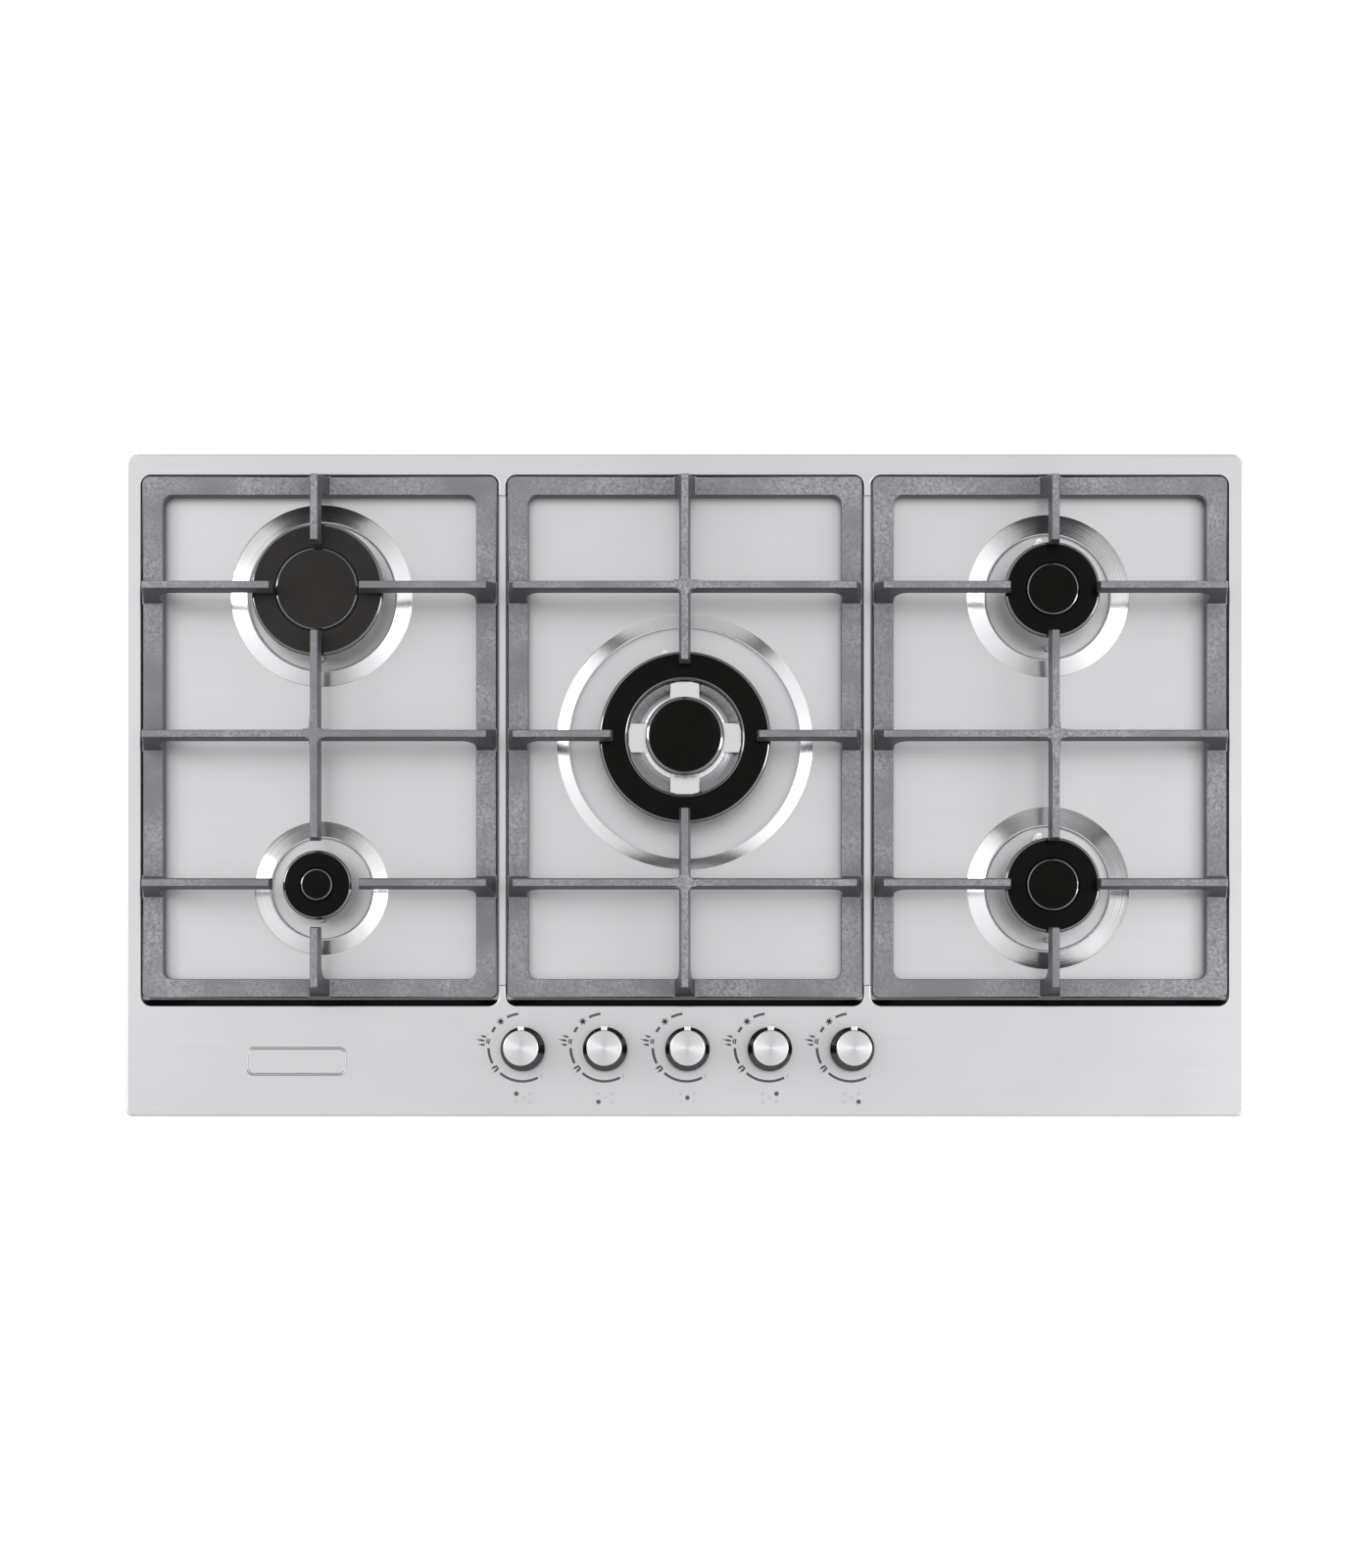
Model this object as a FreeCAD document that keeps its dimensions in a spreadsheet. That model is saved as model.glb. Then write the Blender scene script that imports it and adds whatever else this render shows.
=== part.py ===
# Built-in gas cooktop, 860 x 510 mm: a pressed stainless plate with three wells,
# three cast pan supports, five burners and five push-and-turn valves over a sheet tray.
# Millimetres, +X right, +Y to the back, +Z up; the origin is under the tray's centre.

import FreeCAD, Part
import math
import os
import Sketcher
from FreeCAD import Placement, Rotation, Vector

os.makedirs("parts", exist_ok=True)
doc = FreeCAD.newDocument("GasCooktop")
sheet = doc.addObject("Spreadsheet::Sheet", "Sizes")


class Size:
    # a length that keeps its number together with the sheet expression that gives it
    def __init__(self, value, text):
        self.value = value
        self.text = text

    def __add__(self, other):
        return Size(self.value + number(other), f"({self.text} + {words(other)})")

    def __radd__(self, other):
        return Size(number(other) + self.value, f"({words(other)} + {self.text})")

    def __sub__(self, other):
        return Size(self.value - number(other), f"({self.text} - {words(other)})")

    def __rsub__(self, other):
        return Size(number(other) - self.value, f"({words(other)} - {self.text})")

    def __mul__(self, other):
        return Size(self.value * number(other), f"({self.text} * {words(other)})")

    def __rmul__(self, other):
        return self * other

    def __truediv__(self, other):
        return Size(self.value / number(other), f"({self.text} / {words(other)})")

    def __neg__(self):
        return Size(-self.value, f"(-1 * {self.text})")


def number(item):
    return item.value if isinstance(item, Size) else float(item)


def words(item):
    return item.text if isinstance(item, Size) else repr(item)


rowCount = 0


def size(alias, value, note):
    # one driving size: a row of the sheet with its note, its number and its alias
    global rowCount
    rowCount += 1
    sheet.set(f"A{rowCount}", note)
    sheet.set(f"B{rowCount}", str(value))
    sheet.setAlias(f"B{rowCount}", alias)
    return Size(value, f"Sizes.{alias}")


# ---- driving sizes: plate and wells ----
plateWidth = size("plateWidth", 860, "plate, left to right")
plateDepth = size("plateDepth", 510, "plate, front to back")
sheetThick = size("sheetThick", 1, "plate sheet")
rimHeight = size("rimHeight", 10, "plate top above the worktop")
backCorner = size("backCorner", 10.5, "plate corner radius at the back")
frontCorner = size("frontCorner", 6, "plate corner radius at the front")
edgeRound = size("edgeRound", 3, "rounding of the plate's outer edge")
hemReturn = size("hemReturn", 12, "flange folded in under the plate's edge")
sealThick = size("sealThick", 2, "foam strip under the flange, compressed")
sealWidth = size("sealWidth", 9, "foam strip width")
sealInset = size("sealInset", 1.5, "foam strip in from the plate's edge")
sideRim = size("sideRim", 12.5, "rim beside the outer wells")
frontStrip = size("frontStrip", 85.5, "strip for the knobs in front of the wells")
wellDepth = size("wellDepth", 8, "well floor below the rim")
wellCorner = size("wellCorner", 8, "well corner radius")
wellRamp = size("wellRamp", 5, "slope of a well's front wall, front to back")
landWidth = size("landWidth", 5, "land between two wells")
landDrop = size("landDrop", 1.5, "land below the rim")
landShoulder = size("landShoulder", 16, "rim-level stretch at each end of a land")
backRim = size("backRim", 17, "rim behind the wells")
badgeWidth = size("badgeWidth", 76, "outline pressed into the front strip")
badgeDepth = size("badgeDepth", 21, "outline, front to back")
badgeCorner = size("badgeCorner", 5, "outline corner radius")
badgeLine = size("badgeLine", 1.2, "width of the pressed line")
badgeSink = size("badgeSink", 0.3, "depth of the pressed line")
badgeX = size("badgeX", 298, "outline, left of the middle")
badgeInset = size("badgeInset", 43, "outline's middle from the front edge")

# ---- tray ----
trayDrop = size("trayDrop", 55, "tray underside below the worktop")
traySide = size("traySide", 20, "tray in from the plate's sides")
trayEnd = size("trayEnd", 22, "tray in from the plate's front and back")
traySheet = size("traySheet", 0.8, "tray sheet")
stepWidth = size("stepWidth", 84, "raised corner for the inlets, left to right")
stepDepth = size("stepDepth", 84, "raised corner, front to back")
stepRise = size("stepRise", 30, "raised corner above the tray's underside")
ventLength = size("ventLength", 60, "air slot length")
ventWidth = size("ventWidth", 5, "air slot width")
ventPitch = size("ventPitch", 15, "air slot spacing")
ventCorner = size("ventCorner", 2, "air slot corner radius")
VENTS = 5
fixingSide = size("fixingSide", 30, "clamp screw holes in from the tray's sides")
fixingEnd = size("fixingEnd", 113, "clamp screw holes in from the tray's front and back")
fixingHole = size("fixingHole", 2.1, "clamp screw hole radius")

# ---- pan supports ----
supportGap = size("supportGap", 1.5, "pan support to well wall")
supportFrontGap = size("supportFrontGap", 6, "pan support to the well's front wall")
barSide = size("barSide", 16, "frame bar at the sides")
barEnd = size("barEnd", 14.5, "frame bar at the front and back")
barHeight = size("barHeight", 6.5, "frame bar height")
barOuter = size("barOuter", 5.5, "frame corner radius outside")
barInner = size("barInner", 7, "frame corner radius inside")
padHeight = size("padHeight", 3, "resting pads under the frame")
padRadius = size("padRadius", 5, "resting pad radius")
fingerRise = size("fingerRise", 28.5, "finger top above the frame")
fingerTop = size("fingerTop", 5.5, "finger width at the top")
fingerDeep = size("fingerDeep", 10, "finger height")
fingerBase = size("fingerBase", 15.5, "leg width where it meets the frame")
fingerInset = size("fingerInset", 6, "finger end in from the frame's edge")
legInset = size("legInset", 1, "leg foot in from the frame's edge")
tipSlope = size("tipSlope", 1.5, "finger tip leaning back to its top")
gusset = size("gusset", 10, "radius between a leg and its finger")
crossFill = size("crossFill", 5.5, "corner fill where two fingers cross")
rootSink = size("rootSink", 1, "leg carried into the frame")
tipReach = size("tipReach", 34, "finger tips from a burner's axis")
tipReachWide = size("tipReachWide", 56, "finger tips from the middle burner's axis")

# ---- burners ----
rowEnd = size("rowEnd", 91.25, "front and rear burner rows in from the ends of the wells")
dishDepth = size("dishDepth", 6, "burner dish floor below the well floor")
footWidth = size("footWidth", 1.5, "short step at the foot of a dish's ring")
footInset = size("footInset", 0.2, "top of that step inside the ring")
headRise = size("headRise", 24, "burner head top above the dish floor")
portWall = size("portWall", 6, "wall with the flame ports")
portDeep = size("portDeep", 5, "flame port height")
baseThick = size("baseThick", 3, "burner head base")
neckDrop = size("neckDrop", 21, "mixing tube below the dish floor")
neckBore = size("neckBore", 8, "mixing tube bore radius")
neckWall = size("neckWall", 2.5, "mixing tube wall")
neckGap = size("neckGap", 3, "mixing tube to the plate hole")
capThick = size("capThick", 5, "burner cap")
capRise = size("capRise", 1.2, "centre disc above the cap")
capRim = size("capRim", 0.8, "upright edge of a cap")
domeRise = size("domeRise", 3.2, "domed cap of the auxiliary burner")
capKeyDrop = size("capKeyDrop", 1.5, "locating ring under a cap")
capKeyWall = size("capKeyWall", 2, "locating ring wall")
capGap = size("capGap", 0.5, "locating ring to the head")
cupBottom = size("cupBottom", 12, "burner cup above the tray's underside")
cupWall = size("cupWall", 2, "burner cup wall")
cupFlange = size("cupFlange", 8, "cup flange beyond the plugs' circle")
postRadius = size("postRadius", 5, "injector post radius")
postHeight = size("postHeight", 12, "injector post height")
injectorRadius = size("injectorRadius", 2.5, "injector radius")
injectorHeight = size("injectorHeight", 3, "injector height")
bossRadius = size("bossRadius", 6, "tube boss radius")
bossLength = size("bossLength", 10, "tube boss length")
ceramicRadius = size("ceramicRadius", 2.6, "spark plug ceramic radius")
probeRadius = size("probeRadius", 2, "flame probe radius")
plugCollar = size("plugCollar", 4.5, "collar radius of plug and probe")
collarHeight = size("collarHeight", 6, "collar height")
plugGap = size("plugGap", 0.4, "plug and probe to their holes")
tipGap = size("tipGap", 2.5, "spark tip and probe tip below the cap")
sparkPin = size("sparkPin", 0.8, "spark electrode radius")
sparkShow = size("sparkShow", 3, "spark electrode above its ceramic")

# ---- knobs and valves ----
knobInset = size("knobInset", 52, "knob row from the plate's front edge")
knobPitch = size("knobPitch", 63, "knob spacing")
knobShift = size("knobShift", 2, "knob row right of the middle")
knobTravel = size("knobTravel", 3.5, "push of a knob")
knobClear = size("knobClear", 1, "pressed knob above the plate")
knobSkirt = size("knobSkirt", 17, "knob skirt radius")
knobTop = size("knobTop", 13.5, "knob disc radius")
knobHeight = size("knobHeight", 24, "knob height")
skirtHeight = size("skirtHeight", 3, "upright edge of the skirt")
skirtSlope = size("skirtSlope", 3, "slope from skirt to barrel")
knobHollow = size("knobHollow", 3, "hollow under the skirt")
knobWall = size("knobWall", 2.5, "skirt wall")
hubRadius = size("hubRadius", 7, "hub round the spindle")
knobEdge = size("knobEdge", 0.8, "bevel round the knob's top")
pointerWidth = size("pointerWidth", 4.5, "pointer rib width")
pointerDrop = size("pointerDrop", 1, "pointer rib below the knob's top")
spindleRadius = size("spindleRadius", 4, "spindle radius")
spindleFlat = size("spindleFlat", 1.2, "depth of the spindle's flat")
spindleGrip = size("spindleGrip", 14, "spindle inside the knob")
spindleDrop = size("spindleDrop", 8, "spindle inside the valve plug")
gripGap = size("gripGap", 0.1, "knob bore to spindle")
turnGap = size("turnGap", 0.3, "turning and sliding parts to their bores")
holeGap = size("holeGap", 2, "plate hole to spindle")
valveTop = size("valveTop", 5, "valve top below the worktop")
valveWidth = size("valveWidth", 24, "valve body, left to right")
valveReach = size("valveReach", 12, "valve body from its axis to the back")
valveSkin = size("valveSkin", 2, "valve body below its outlet")
valveNeck = size("valveNeck", 9.5, "valve neck radius")
neckHeight = size("neckHeight", 6, "valve neck height")
plugRadius = size("plugRadius", 6.5, "valve plug radius")
plugLength = size("plugLength", 24, "valve plug length")
plugShow = size("plugShow", 1, "valve plug above its neck")
railRadius = size("railRadius", 7, "gas rail radius")
railLift = size("railLift", 40, "gas rail above the tray's underside")
railWall = size("railWall", 3.4, "rail behind the valve plug")
saddleGap = size("saddleGap", 0.15, "rail to valve saddle")
railEnd = size("railEnd", 26, "rail beyond the first valve")
railSide = size("railSide", 17, "rail's side run in from the tray's edge")
railBend = size("railBend", 22, "rail bend radius")
tubeRadius = size("tubeRadius", 4, "feed tube radius")
tubeBend = size("tubeBend", 14, "feed tube bend radius")
tubeDip = size("tubeDip", 12, "dip where one tube passes under another")
dipRun = size("dipRun", 22, "run of each side of the dip")
dipReach = size("dipReach", 44, "dip from the tube that it passes")

# ---- inlets and ignition ----
inletRadius = size("inletRadius", 10.48, "gas inlet thread radius")
inletBore = size("inletBore", 6, "gas inlet bore radius")
inletRelief = size("inletRelief", 1.5, "undercut above the inlet thread")
reliefDepth = size("reliefDepth", 1, "depth of that undercut")
inletLength = size("inletLength", 18, "gas inlet thread below the raised corner")
inletNut = size("inletNut", 13, "gas inlet nut radius")
nutHeight = size("nutHeight", 8, "gas inlet nut height")
inletY = size("inletY", 34, "gas inlet in from the tray's back")
holeMargin = size("holeMargin", 0.5, "inlet and gland to their holes")
glandX = size("glandX", 60, "cable gland in from the tray's side")
glandY = size("glandY", 30, "cable gland in from the tray's back")
glandRadius = size("glandRadius", 7, "cable gland body radius")
glandFlange = size("glandFlange", 10, "cable gland flange radius")
glandBore = size("glandBore", 3.5, "cable gland bore radius")
glandLength = size("glandLength", 10, "cable gland below the raised corner")
glandCap = size("glandCap", 3, "cable gland flange height")
moduleWidth = size("moduleWidth", 90, "spark module, left to right")
moduleDepth = size("moduleDepth", 42, "spark module, front to back")
moduleHeight = size("moduleHeight", 26, "spark module height")
moduleBack = size("moduleBack", 40, "spark module in from the tray's back")
moduleCorner = size("moduleCorner", 3, "spark module corner radius")

BURNERS = {
    "rear_left": ("rapid", -1, 1),
    "front_left": ("auxiliary", -1, -1),
    "centre": ("triple", 0, 0),
    "rear_right": ("semi", 1, 1),
    "front_right": ("semi", 1, -1),
}
RINGS = {
    kind: {
        "dish": size(f"{kind}Dish", dish, f"{kind} burner: dish radius"),
        "ring": size(f"{kind}Ring", ring, f"{kind} burner: width of the dish's outer ring"),
        "drop": size(f"{kind}Drop", drop, f"{kind} burner: fall of the dish's ring"),
        "cap": size(f"{kind}Cap", cap, f"{kind} burner: cap radius"),
        "disc": size(f"{kind}Disc", disc, f"{kind} burner: centre disc radius"),
        "head": size(f"{kind}Head", head, f"{kind} burner: head radius"),
        "plug": size(f"{kind}Plug", plug, f"{kind} burner: plug and probe axes out from the head"),
        "ports": ports,
        "slot": size(f"{kind}Slot", slot, f"{kind} burner: flame port width"),
    }
    for kind, dish, ring, drop, cap, disc, head, plug, ports, slot in (
        ("rapid", 70, 12, 3.5, 50.5, 31.5, 43, 4.5, 36, 2.2),
        ("semi", 62.5, 13.5, 3.5, 36.5, 19.75, 29.5, 10, 28, 2),
        ("auxiliary", 51.5, 11.5, 3.5, 26.5, 13, 19.5, 4.5, 20, 1.8),
        ("triple", 98.5, 9, 6, 65.5, 60, 57.5, 10, 44, 2.4),
    )
}
crownOuter = size("crownOuter", 43.5, "middle burner: bright crown radius")
crownRim = size("crownRim", 3.5, "middle burner: flat rim round the inner head")
crownSlope = size("crownSlope", 6, "middle burner: fall of the crown's outer slope")
crownRise = size("crownRise", 6, "middle burner: inner head above the outer head")
innerHead = size("innerHead", 29, "middle burner: inner head radius")
innerCap = size("innerCap", 30, "middle burner: inner cap radius")
innerDisc = size("innerDisc", 24, "middle burner: inner cap's domed disc radius")
innerWall = size("innerWall", 5, "middle burner: inner head wall")
lugWidth = size("lugWidth", 22, "middle burner: lug width")
lugDrop = size("lugDrop", 0.5, "middle burner: rim and lugs below the inner ports")
lugInset = size("lugInset", 0.5, "middle burner: lugs short of the crown's edge")
lugCorner = size("lugCorner", 2, "middle burner: bevelled outer corners of a lug")
innerPorts = 24

# ---- places worked out from those sizes ----
sheet.recompute()
worktop = trayDrop
plateUnder = worktop + sealThick
rimTop = worktop + rimHeight
floorTop = rimTop - wellDepth
floorUnder = floorTop - sheetThick
landTop = rimTop - landDrop
dishFloor = floorTop - dishDepth
dishUnder = dishFloor - sheetThick
wellWidth = (plateWidth - 2 * sideRim - 2 * landWidth) / 3
wellLength = plateDepth - backRim - frontStrip
wellPitch = wellWidth + landWidth
rowPitch = wellLength / 2 - rowEnd
wellBack = plateDepth / 2 - backRim
wellFront = wellBack - wellLength
middleY = wellBack - wellLength / 2
blockSide = wellPitch + wellWidth / 2 + sheetThick
headTop = dishFloor + headRise
frameBottom = floorTop + padHeight
frameTop = frameBottom + barHeight
supportTop = frameTop + fingerRise
supportWidth = wellWidth - 2 * supportGap
supportLength = wellLength - supportGap - supportFrontGap
supportBack = wellBack - supportGap
supportFront = supportBack - supportLength
knobY = knobInset - plateDepth / 2
knobBottom = rimTop + knobTravel + knobClear
knobFace = knobBottom + knobHeight
valveFace = worktop - valveTop
tubeLevel = cupBottom + cupWall / 2 + bossRadius
railY = knobY - plugRadius - turnGap - railWall - railRadius
trayWidth = plateWidth - 2 * traySide
trayDepth = plateDepth - 2 * trayEnd
fixingX = trayWidth / 2 - fixingSide
fixingY = trayDepth / 2 - fixingEnd
railX = trayWidth / 2 - railSide
stepX = trayWidth / 2 - stepWidth
stepY = trayDepth / 2 - stepDepth
KNOB_ORDER = ("rear_left", "front_left", "centre", "rear_right", "front_right")
PLUG_TURN = 103
PROBE_TURN = -90


def plug_reach(kind):
    return RINGS[kind]["head"] + RINGS[kind]["plug"]


def around(reach, turn):
    # an offset of a given length, at an angle in degrees from +X
    return reach * math.cos(math.radians(turn)), reach * math.sin(math.radians(turn))


def knob_x(name):
    return knobShift + (KNOB_ORDER.index(name) - 2) * knobPitch


def burner_place(name):
    _kind, column, row = BURNERS[name]
    return column * wellPitch, middleY + row * rowPitch


# ---- drawing helpers ----
def bind(item, prop, value):
    if isinstance(value, Size):
        item.setExpression(prop, value.text)
    else:
        setattr(item, prop, value)


def new_body(label, x=0, y=0):
    body = doc.addObject("PartDesign::Body", label)
    body.Label = label
    place(body, x, y)
    return body


def place(item, x=0, y=0, z=0):
    for axis, value in (("x", x), ("y", y), ("z", z)):
        if isinstance(value, Size):
            item.setExpression(f"Placement.Base.{axis}", value.text)
        elif value:
            setattr(item.Placement.Base, axis, value)


def origin_item(body, role):
    return [item for item in body.Origin.OriginFeatures if item.Role == role][0]


def new_sketch(body, plane, lift=0):
    # a sketch on one of the body's own origin planes, lifted off it along its normal
    sketch = body.newObject("Sketcher::SketchObject", f"{body.Name}_sketch")
    sketch.AttachmentSupport = [(origin_item(body, plane), "")]
    sketch.MapMode = "FlatFace"
    sketch.AttachmentOffset = Placement(Vector(0, 0, number(lift)), Rotation())
    if isinstance(lift, Size):
        sketch.setExpression("AttachmentOffset.Base.z", lift.text)
    return sketch


def hold(kind, geometry, point, value):
    # one coordinate of a sketch point, from the sketch's origin
    return Sketcher.Constraint(kind, -1, 1, geometry, point, number(value)), value


def hold_point(geometry, point, x, y):
    return [hold("DistanceX", geometry, point, x), hold("DistanceY", geometry, point, y)]


def join(items):
    pairs = zip(items, items[1:] + items[:1])
    return [(Sketcher.Constraint("Coincident", item, 2, following, 1), None)
            for item, following in pairs]


def constrain(sketch, held):
    # adds the constraints together, then ties each one that has a size to it
    places = sketch.addConstraint([constraint for constraint, _value in held])
    for index, (_constraint, value) in zip(places, held):
        if isinstance(value, Size):
            sketch.setExpression(f"Constraints[{index}]", value.text)


def line(sketch, start, end):
    ends = [Vector(number(x), number(y), 0) for x, y in (start, end)]
    return sketch.addGeometry(Part.LineSegment(*ends), False)


def quarter(sketch, x, y, radius, turn):
    # a quarter circle round its centre, starting at an angle in degrees
    circle = Part.Circle(Vector(number(x), number(y), 0), Vector(0, 0, 1), number(radius))
    start = math.radians(turn)
    return sketch.addGeometry(Part.ArcOfCircle(circle, start, start + math.pi / 2), False)


def outline(sketch, points):
    # a closed run of straight edges
    ends = points[1:] + points[:1]
    items = [line(sketch, start, end) for start, end in zip(points, ends)]
    held = join(items)
    for item, (x, y) in zip(items, points):
        held += hold_point(item, 1, x, y)
    constrain(sketch, held)


def rounded(sketch, left, right, front, back, front_radius, back_radius):
    # a closed rectangle with its four corners rounded, drawn anticlockwise
    corners = (
        (left, front, front_radius, 180), (right, front, front_radius, 270),
        (right, back, back_radius, 0), (left, back, back_radius, 90))
    arcs = []
    held = []
    for x, y, radius, turn in corners:
        inner_x = x + radius if turn in (90, 180) else x - radius
        inner_y = y + radius if turn in (180, 270) else y - radius
        arc = quarter(sketch, inner_x, inner_y, radius, turn)
        arcs.append(arc)
        level = turn in (0, 180)
        held += hold_point(arc, 1, x if level else inner_x, inner_y if level else y)
        held += hold_point(arc, 2, inner_x if level else x, y if level else inner_y)
        held.append(hold("DistanceX", arc, 3, inner_x))
    run = []
    for arc, following in zip(arcs, arcs[1:] + arcs[:1]):
        start = sketch.Geometry[arc].EndPoint
        end = sketch.Geometry[following].StartPoint
        run += [arc, line(sketch, (start.x, start.y), (end.x, end.y))]
    constrain(sketch, join(run) + held)


def ring(sketch, x, y, radius):
    centre = Vector(number(x), number(y), 0)
    item = sketch.addGeometry(Part.Circle(centre, Vector(0, 0, 1), number(radius)), False)
    size_held = (Sketcher.Constraint("Radius", item, number(radius)), radius)
    constrain(sketch, hold_point(item, 3, x, y) + [size_held])


def pad(body, sketch, length, down=False):
    feature = body.newObject("PartDesign::Pad", f"{body.Name}_pad")
    feature.Profile = sketch
    bind(feature, "Length", length)
    feature.Reversed = down
    return feature


def pocket(body, sketch, length, up=False):
    feature = body.newObject("PartDesign::Pocket", f"{body.Name}_pocket")
    feature.Profile = sketch
    bind(feature, "Length", length)
    feature.Reversed = up
    return feature


def round_edges(body, base, radius, chosen):
    # fillets the edges of a feature whose ends all pass the test
    doc.recompute()
    names = [
        f"Edge{index}" for index, edge in enumerate(base.Shape.Edges, 1)
        if all(chosen(point.Point) for point in edge.Vertexes)]
    feature = body.newObject("PartDesign::Fillet", f"{body.Name}_fillet")
    feature.Base = (base, names)
    bind(feature, "Radius", radius)
    return feature


def turned(label, profile, x=0, y=0):
    # a body of revolution about its own upright axis; profile points are (radius, height)
    body = new_body(label, x, y)
    sketch = new_sketch(body, "XZ_Plane")
    outline(sketch, profile)
    feature = body.newObject("PartDesign::Revolution", f"{label}_turn")
    feature.Profile = sketch
    feature.ReferenceAxis = (sketch, ["V_Axis"])
    feature.Angle = 360
    return body


def repeat_round(body, feature, count, turn=360):
    pattern = body.newObject("PartDesign::PolarPattern", f"{body.Name}_pattern")
    pattern.Originals = [feature]
    pattern.Axis = (origin_item(body, "Z_Axis"), [""])
    pattern.Angle = turn
    pattern.Occurrences = count
    body.Tip = pattern
    return pattern


def dished_cone(body, kind, low_radius, high_radius, low, height, x, y):
    # one conical step of a burner dish, added under the floor or cut into it
    cone = body.newObject(f"PartDesign::{kind}Cone", f"{body.Name}_cone")
    bind(cone, "Radius1", low_radius)
    bind(cone, "Radius2", high_radius)
    bind(cone, "Height", height)
    for axis, value in (("x", x), ("y", y), ("z", low)):
        if isinstance(value, Size):
            cone.setExpression(f"Placement.Base.{axis}", value.text)
    return cone


# ---- plate, seal and tray ----
def top_plate():
    body = new_body("top_plate")
    half = plateWidth / 2
    deep = plateDepth / 2
    sketch = new_sketch(body, "XY_Plane", plateUnder)
    rounded(sketch, -half, half, -deep, deep, frontCorner, backCorner)
    block = pad(body, sketch, rimTop - plateUnder)
    round_edges(body, block, edgeRound, lambda point: abs(point.z - number(rimTop)) < 0.01)

    under = new_sketch(body, "XY_Plane", plateUnder)
    rounded(under, hemReturn - half, half - hemReturn, hemReturn - deep, deep - hemReturn,
            frontCorner, frontCorner)
    pocket(body, under, sheetThick, up=True)
    hollow = new_sketch(body, "XY_Plane", plateUnder + sheetThick)
    skin = sheetThick + edgeRound / 3
    rounded(hollow, skin - half, half - skin, skin - deep, deep - skin,
            frontCorner - skin, backCorner - skin)
    pocket(body, hollow, rimTop - plateUnder - 2 * sheetThick, up=True)

    pan = new_sketch(body, "XY_Plane", floorUnder)
    rounded(pan, -blockSide, blockSide, wellFront - sheetThick, wellBack + sheetThick,
            wellCorner + sheetThick, wellCorner + sheetThick)
    pad(body, pan, rimTop - sheetThick / 2 - floorUnder)
    wells = new_sketch(body, "XY_Plane", rimTop)
    for column in (-1, 0, 1):
        middle = column * wellPitch
        rounded(wells, middle - wellWidth / 2, middle + wellWidth / 2, wellFront, wellBack,
                wellCorner, wellCorner)
    pocket(body, wells, wellDepth)

    ramp = new_sketch(body, "YZ_Plane", -blockSide + sheetThick)
    outline(ramp, [(wellFront - sheetThick / 2, floorTop - sheetThick / 2),
                   (wellFront + wellRamp, floorTop - sheetThick / 2),
                   (wellFront + wellRamp, floorTop), (wellFront, rimTop - sheetThick / 2),
                   (wellFront - sheetThick / 2, rimTop - sheetThick / 2)])
    pad(body, ramp, 2 * blockSide - 2 * sheetThick)

    lands = new_sketch(body, "XY_Plane", rimTop)
    channels = new_sketch(body, "XY_Plane", floorUnder)
    front = wellFront + landShoulder
    back = wellBack - landShoulder
    for side in (-1, 1):
        middle = side * wellPitch / 2
        across = landWidth / 2
        outline(lands, [(middle - across, front), (middle + across, front),
                        (middle + across, back), (middle - across, back)])
        inside = across - sheetThick
        outline(channels, [(middle - inside, front), (middle + inside, front),
                           (middle + inside, back), (middle - inside, back)])
    pocket(body, lands, landDrop)
    pocket(body, channels, landTop - sheetThick - floorUnder, up=True)

    for name, (kind, *_ignored) in BURNERS.items():
        x, y = burner_place(name)
        sizes = RINGS[kind]
        ledge = sizes["dish"] - sizes["ring"]
        drop = sizes["drop"]
        for work, level in (("Additive", floorUnder), ("Subtractive", floorTop)):
            dished_cone(body, work, ledge, sizes["dish"], level - drop, drop, x, y)
            if kind != "triple":
                dished_cone(body, work, ledge - footWidth, ledge - footInset, level - dishDepth,
                            dishDepth - drop, x, y)

    holes = new_sketch(body, "XY_Plane", rimTop)
    for name, (kind, *_ignored) in BURNERS.items():
        x, y = burner_place(name)
        ring(holes, x, y, neckBore + neckWall + neckGap)
        for radius, turn in ((ceramicRadius, PLUG_TURN), (probeRadius, PROBE_TURN)):
            across, along = around(plug_reach(kind), turn)
            ring(holes, x + across, y + along, radius + plugGap)
        ring(holes, knob_x(name), knobY, spindleRadius + holeGap)
    last = pocket(body, holes, rimTop - dishUnder + sheetThick)

    mark = new_sketch(body, "XY_Plane", rimTop)
    mark_y = badgeInset - deep
    for shrink in (0, badgeLine):
        across = badgeWidth / 2 - shrink
        along = badgeDepth / 2 - shrink
        corner = badgeCorner - shrink
        rounded(mark, -badgeX - across, across - badgeX, mark_y - along, mark_y + along,
                corner, corner)
    last = pocket(body, mark, badgeSink)
    body.Tip = last
    return body


def worktop_seal():
    body = new_body("worktop_seal")
    sketch = new_sketch(body, "XY_Plane", worktop)
    for inset in (sealInset, sealInset + sealWidth):
        half = plateWidth / 2 - inset
        deep = plateDepth / 2 - inset
        rounded(sketch, -half, half, -deep, deep, frontCorner / 2, frontCorner / 2)
    pad(body, sketch, sealThick)
    return body


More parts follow.
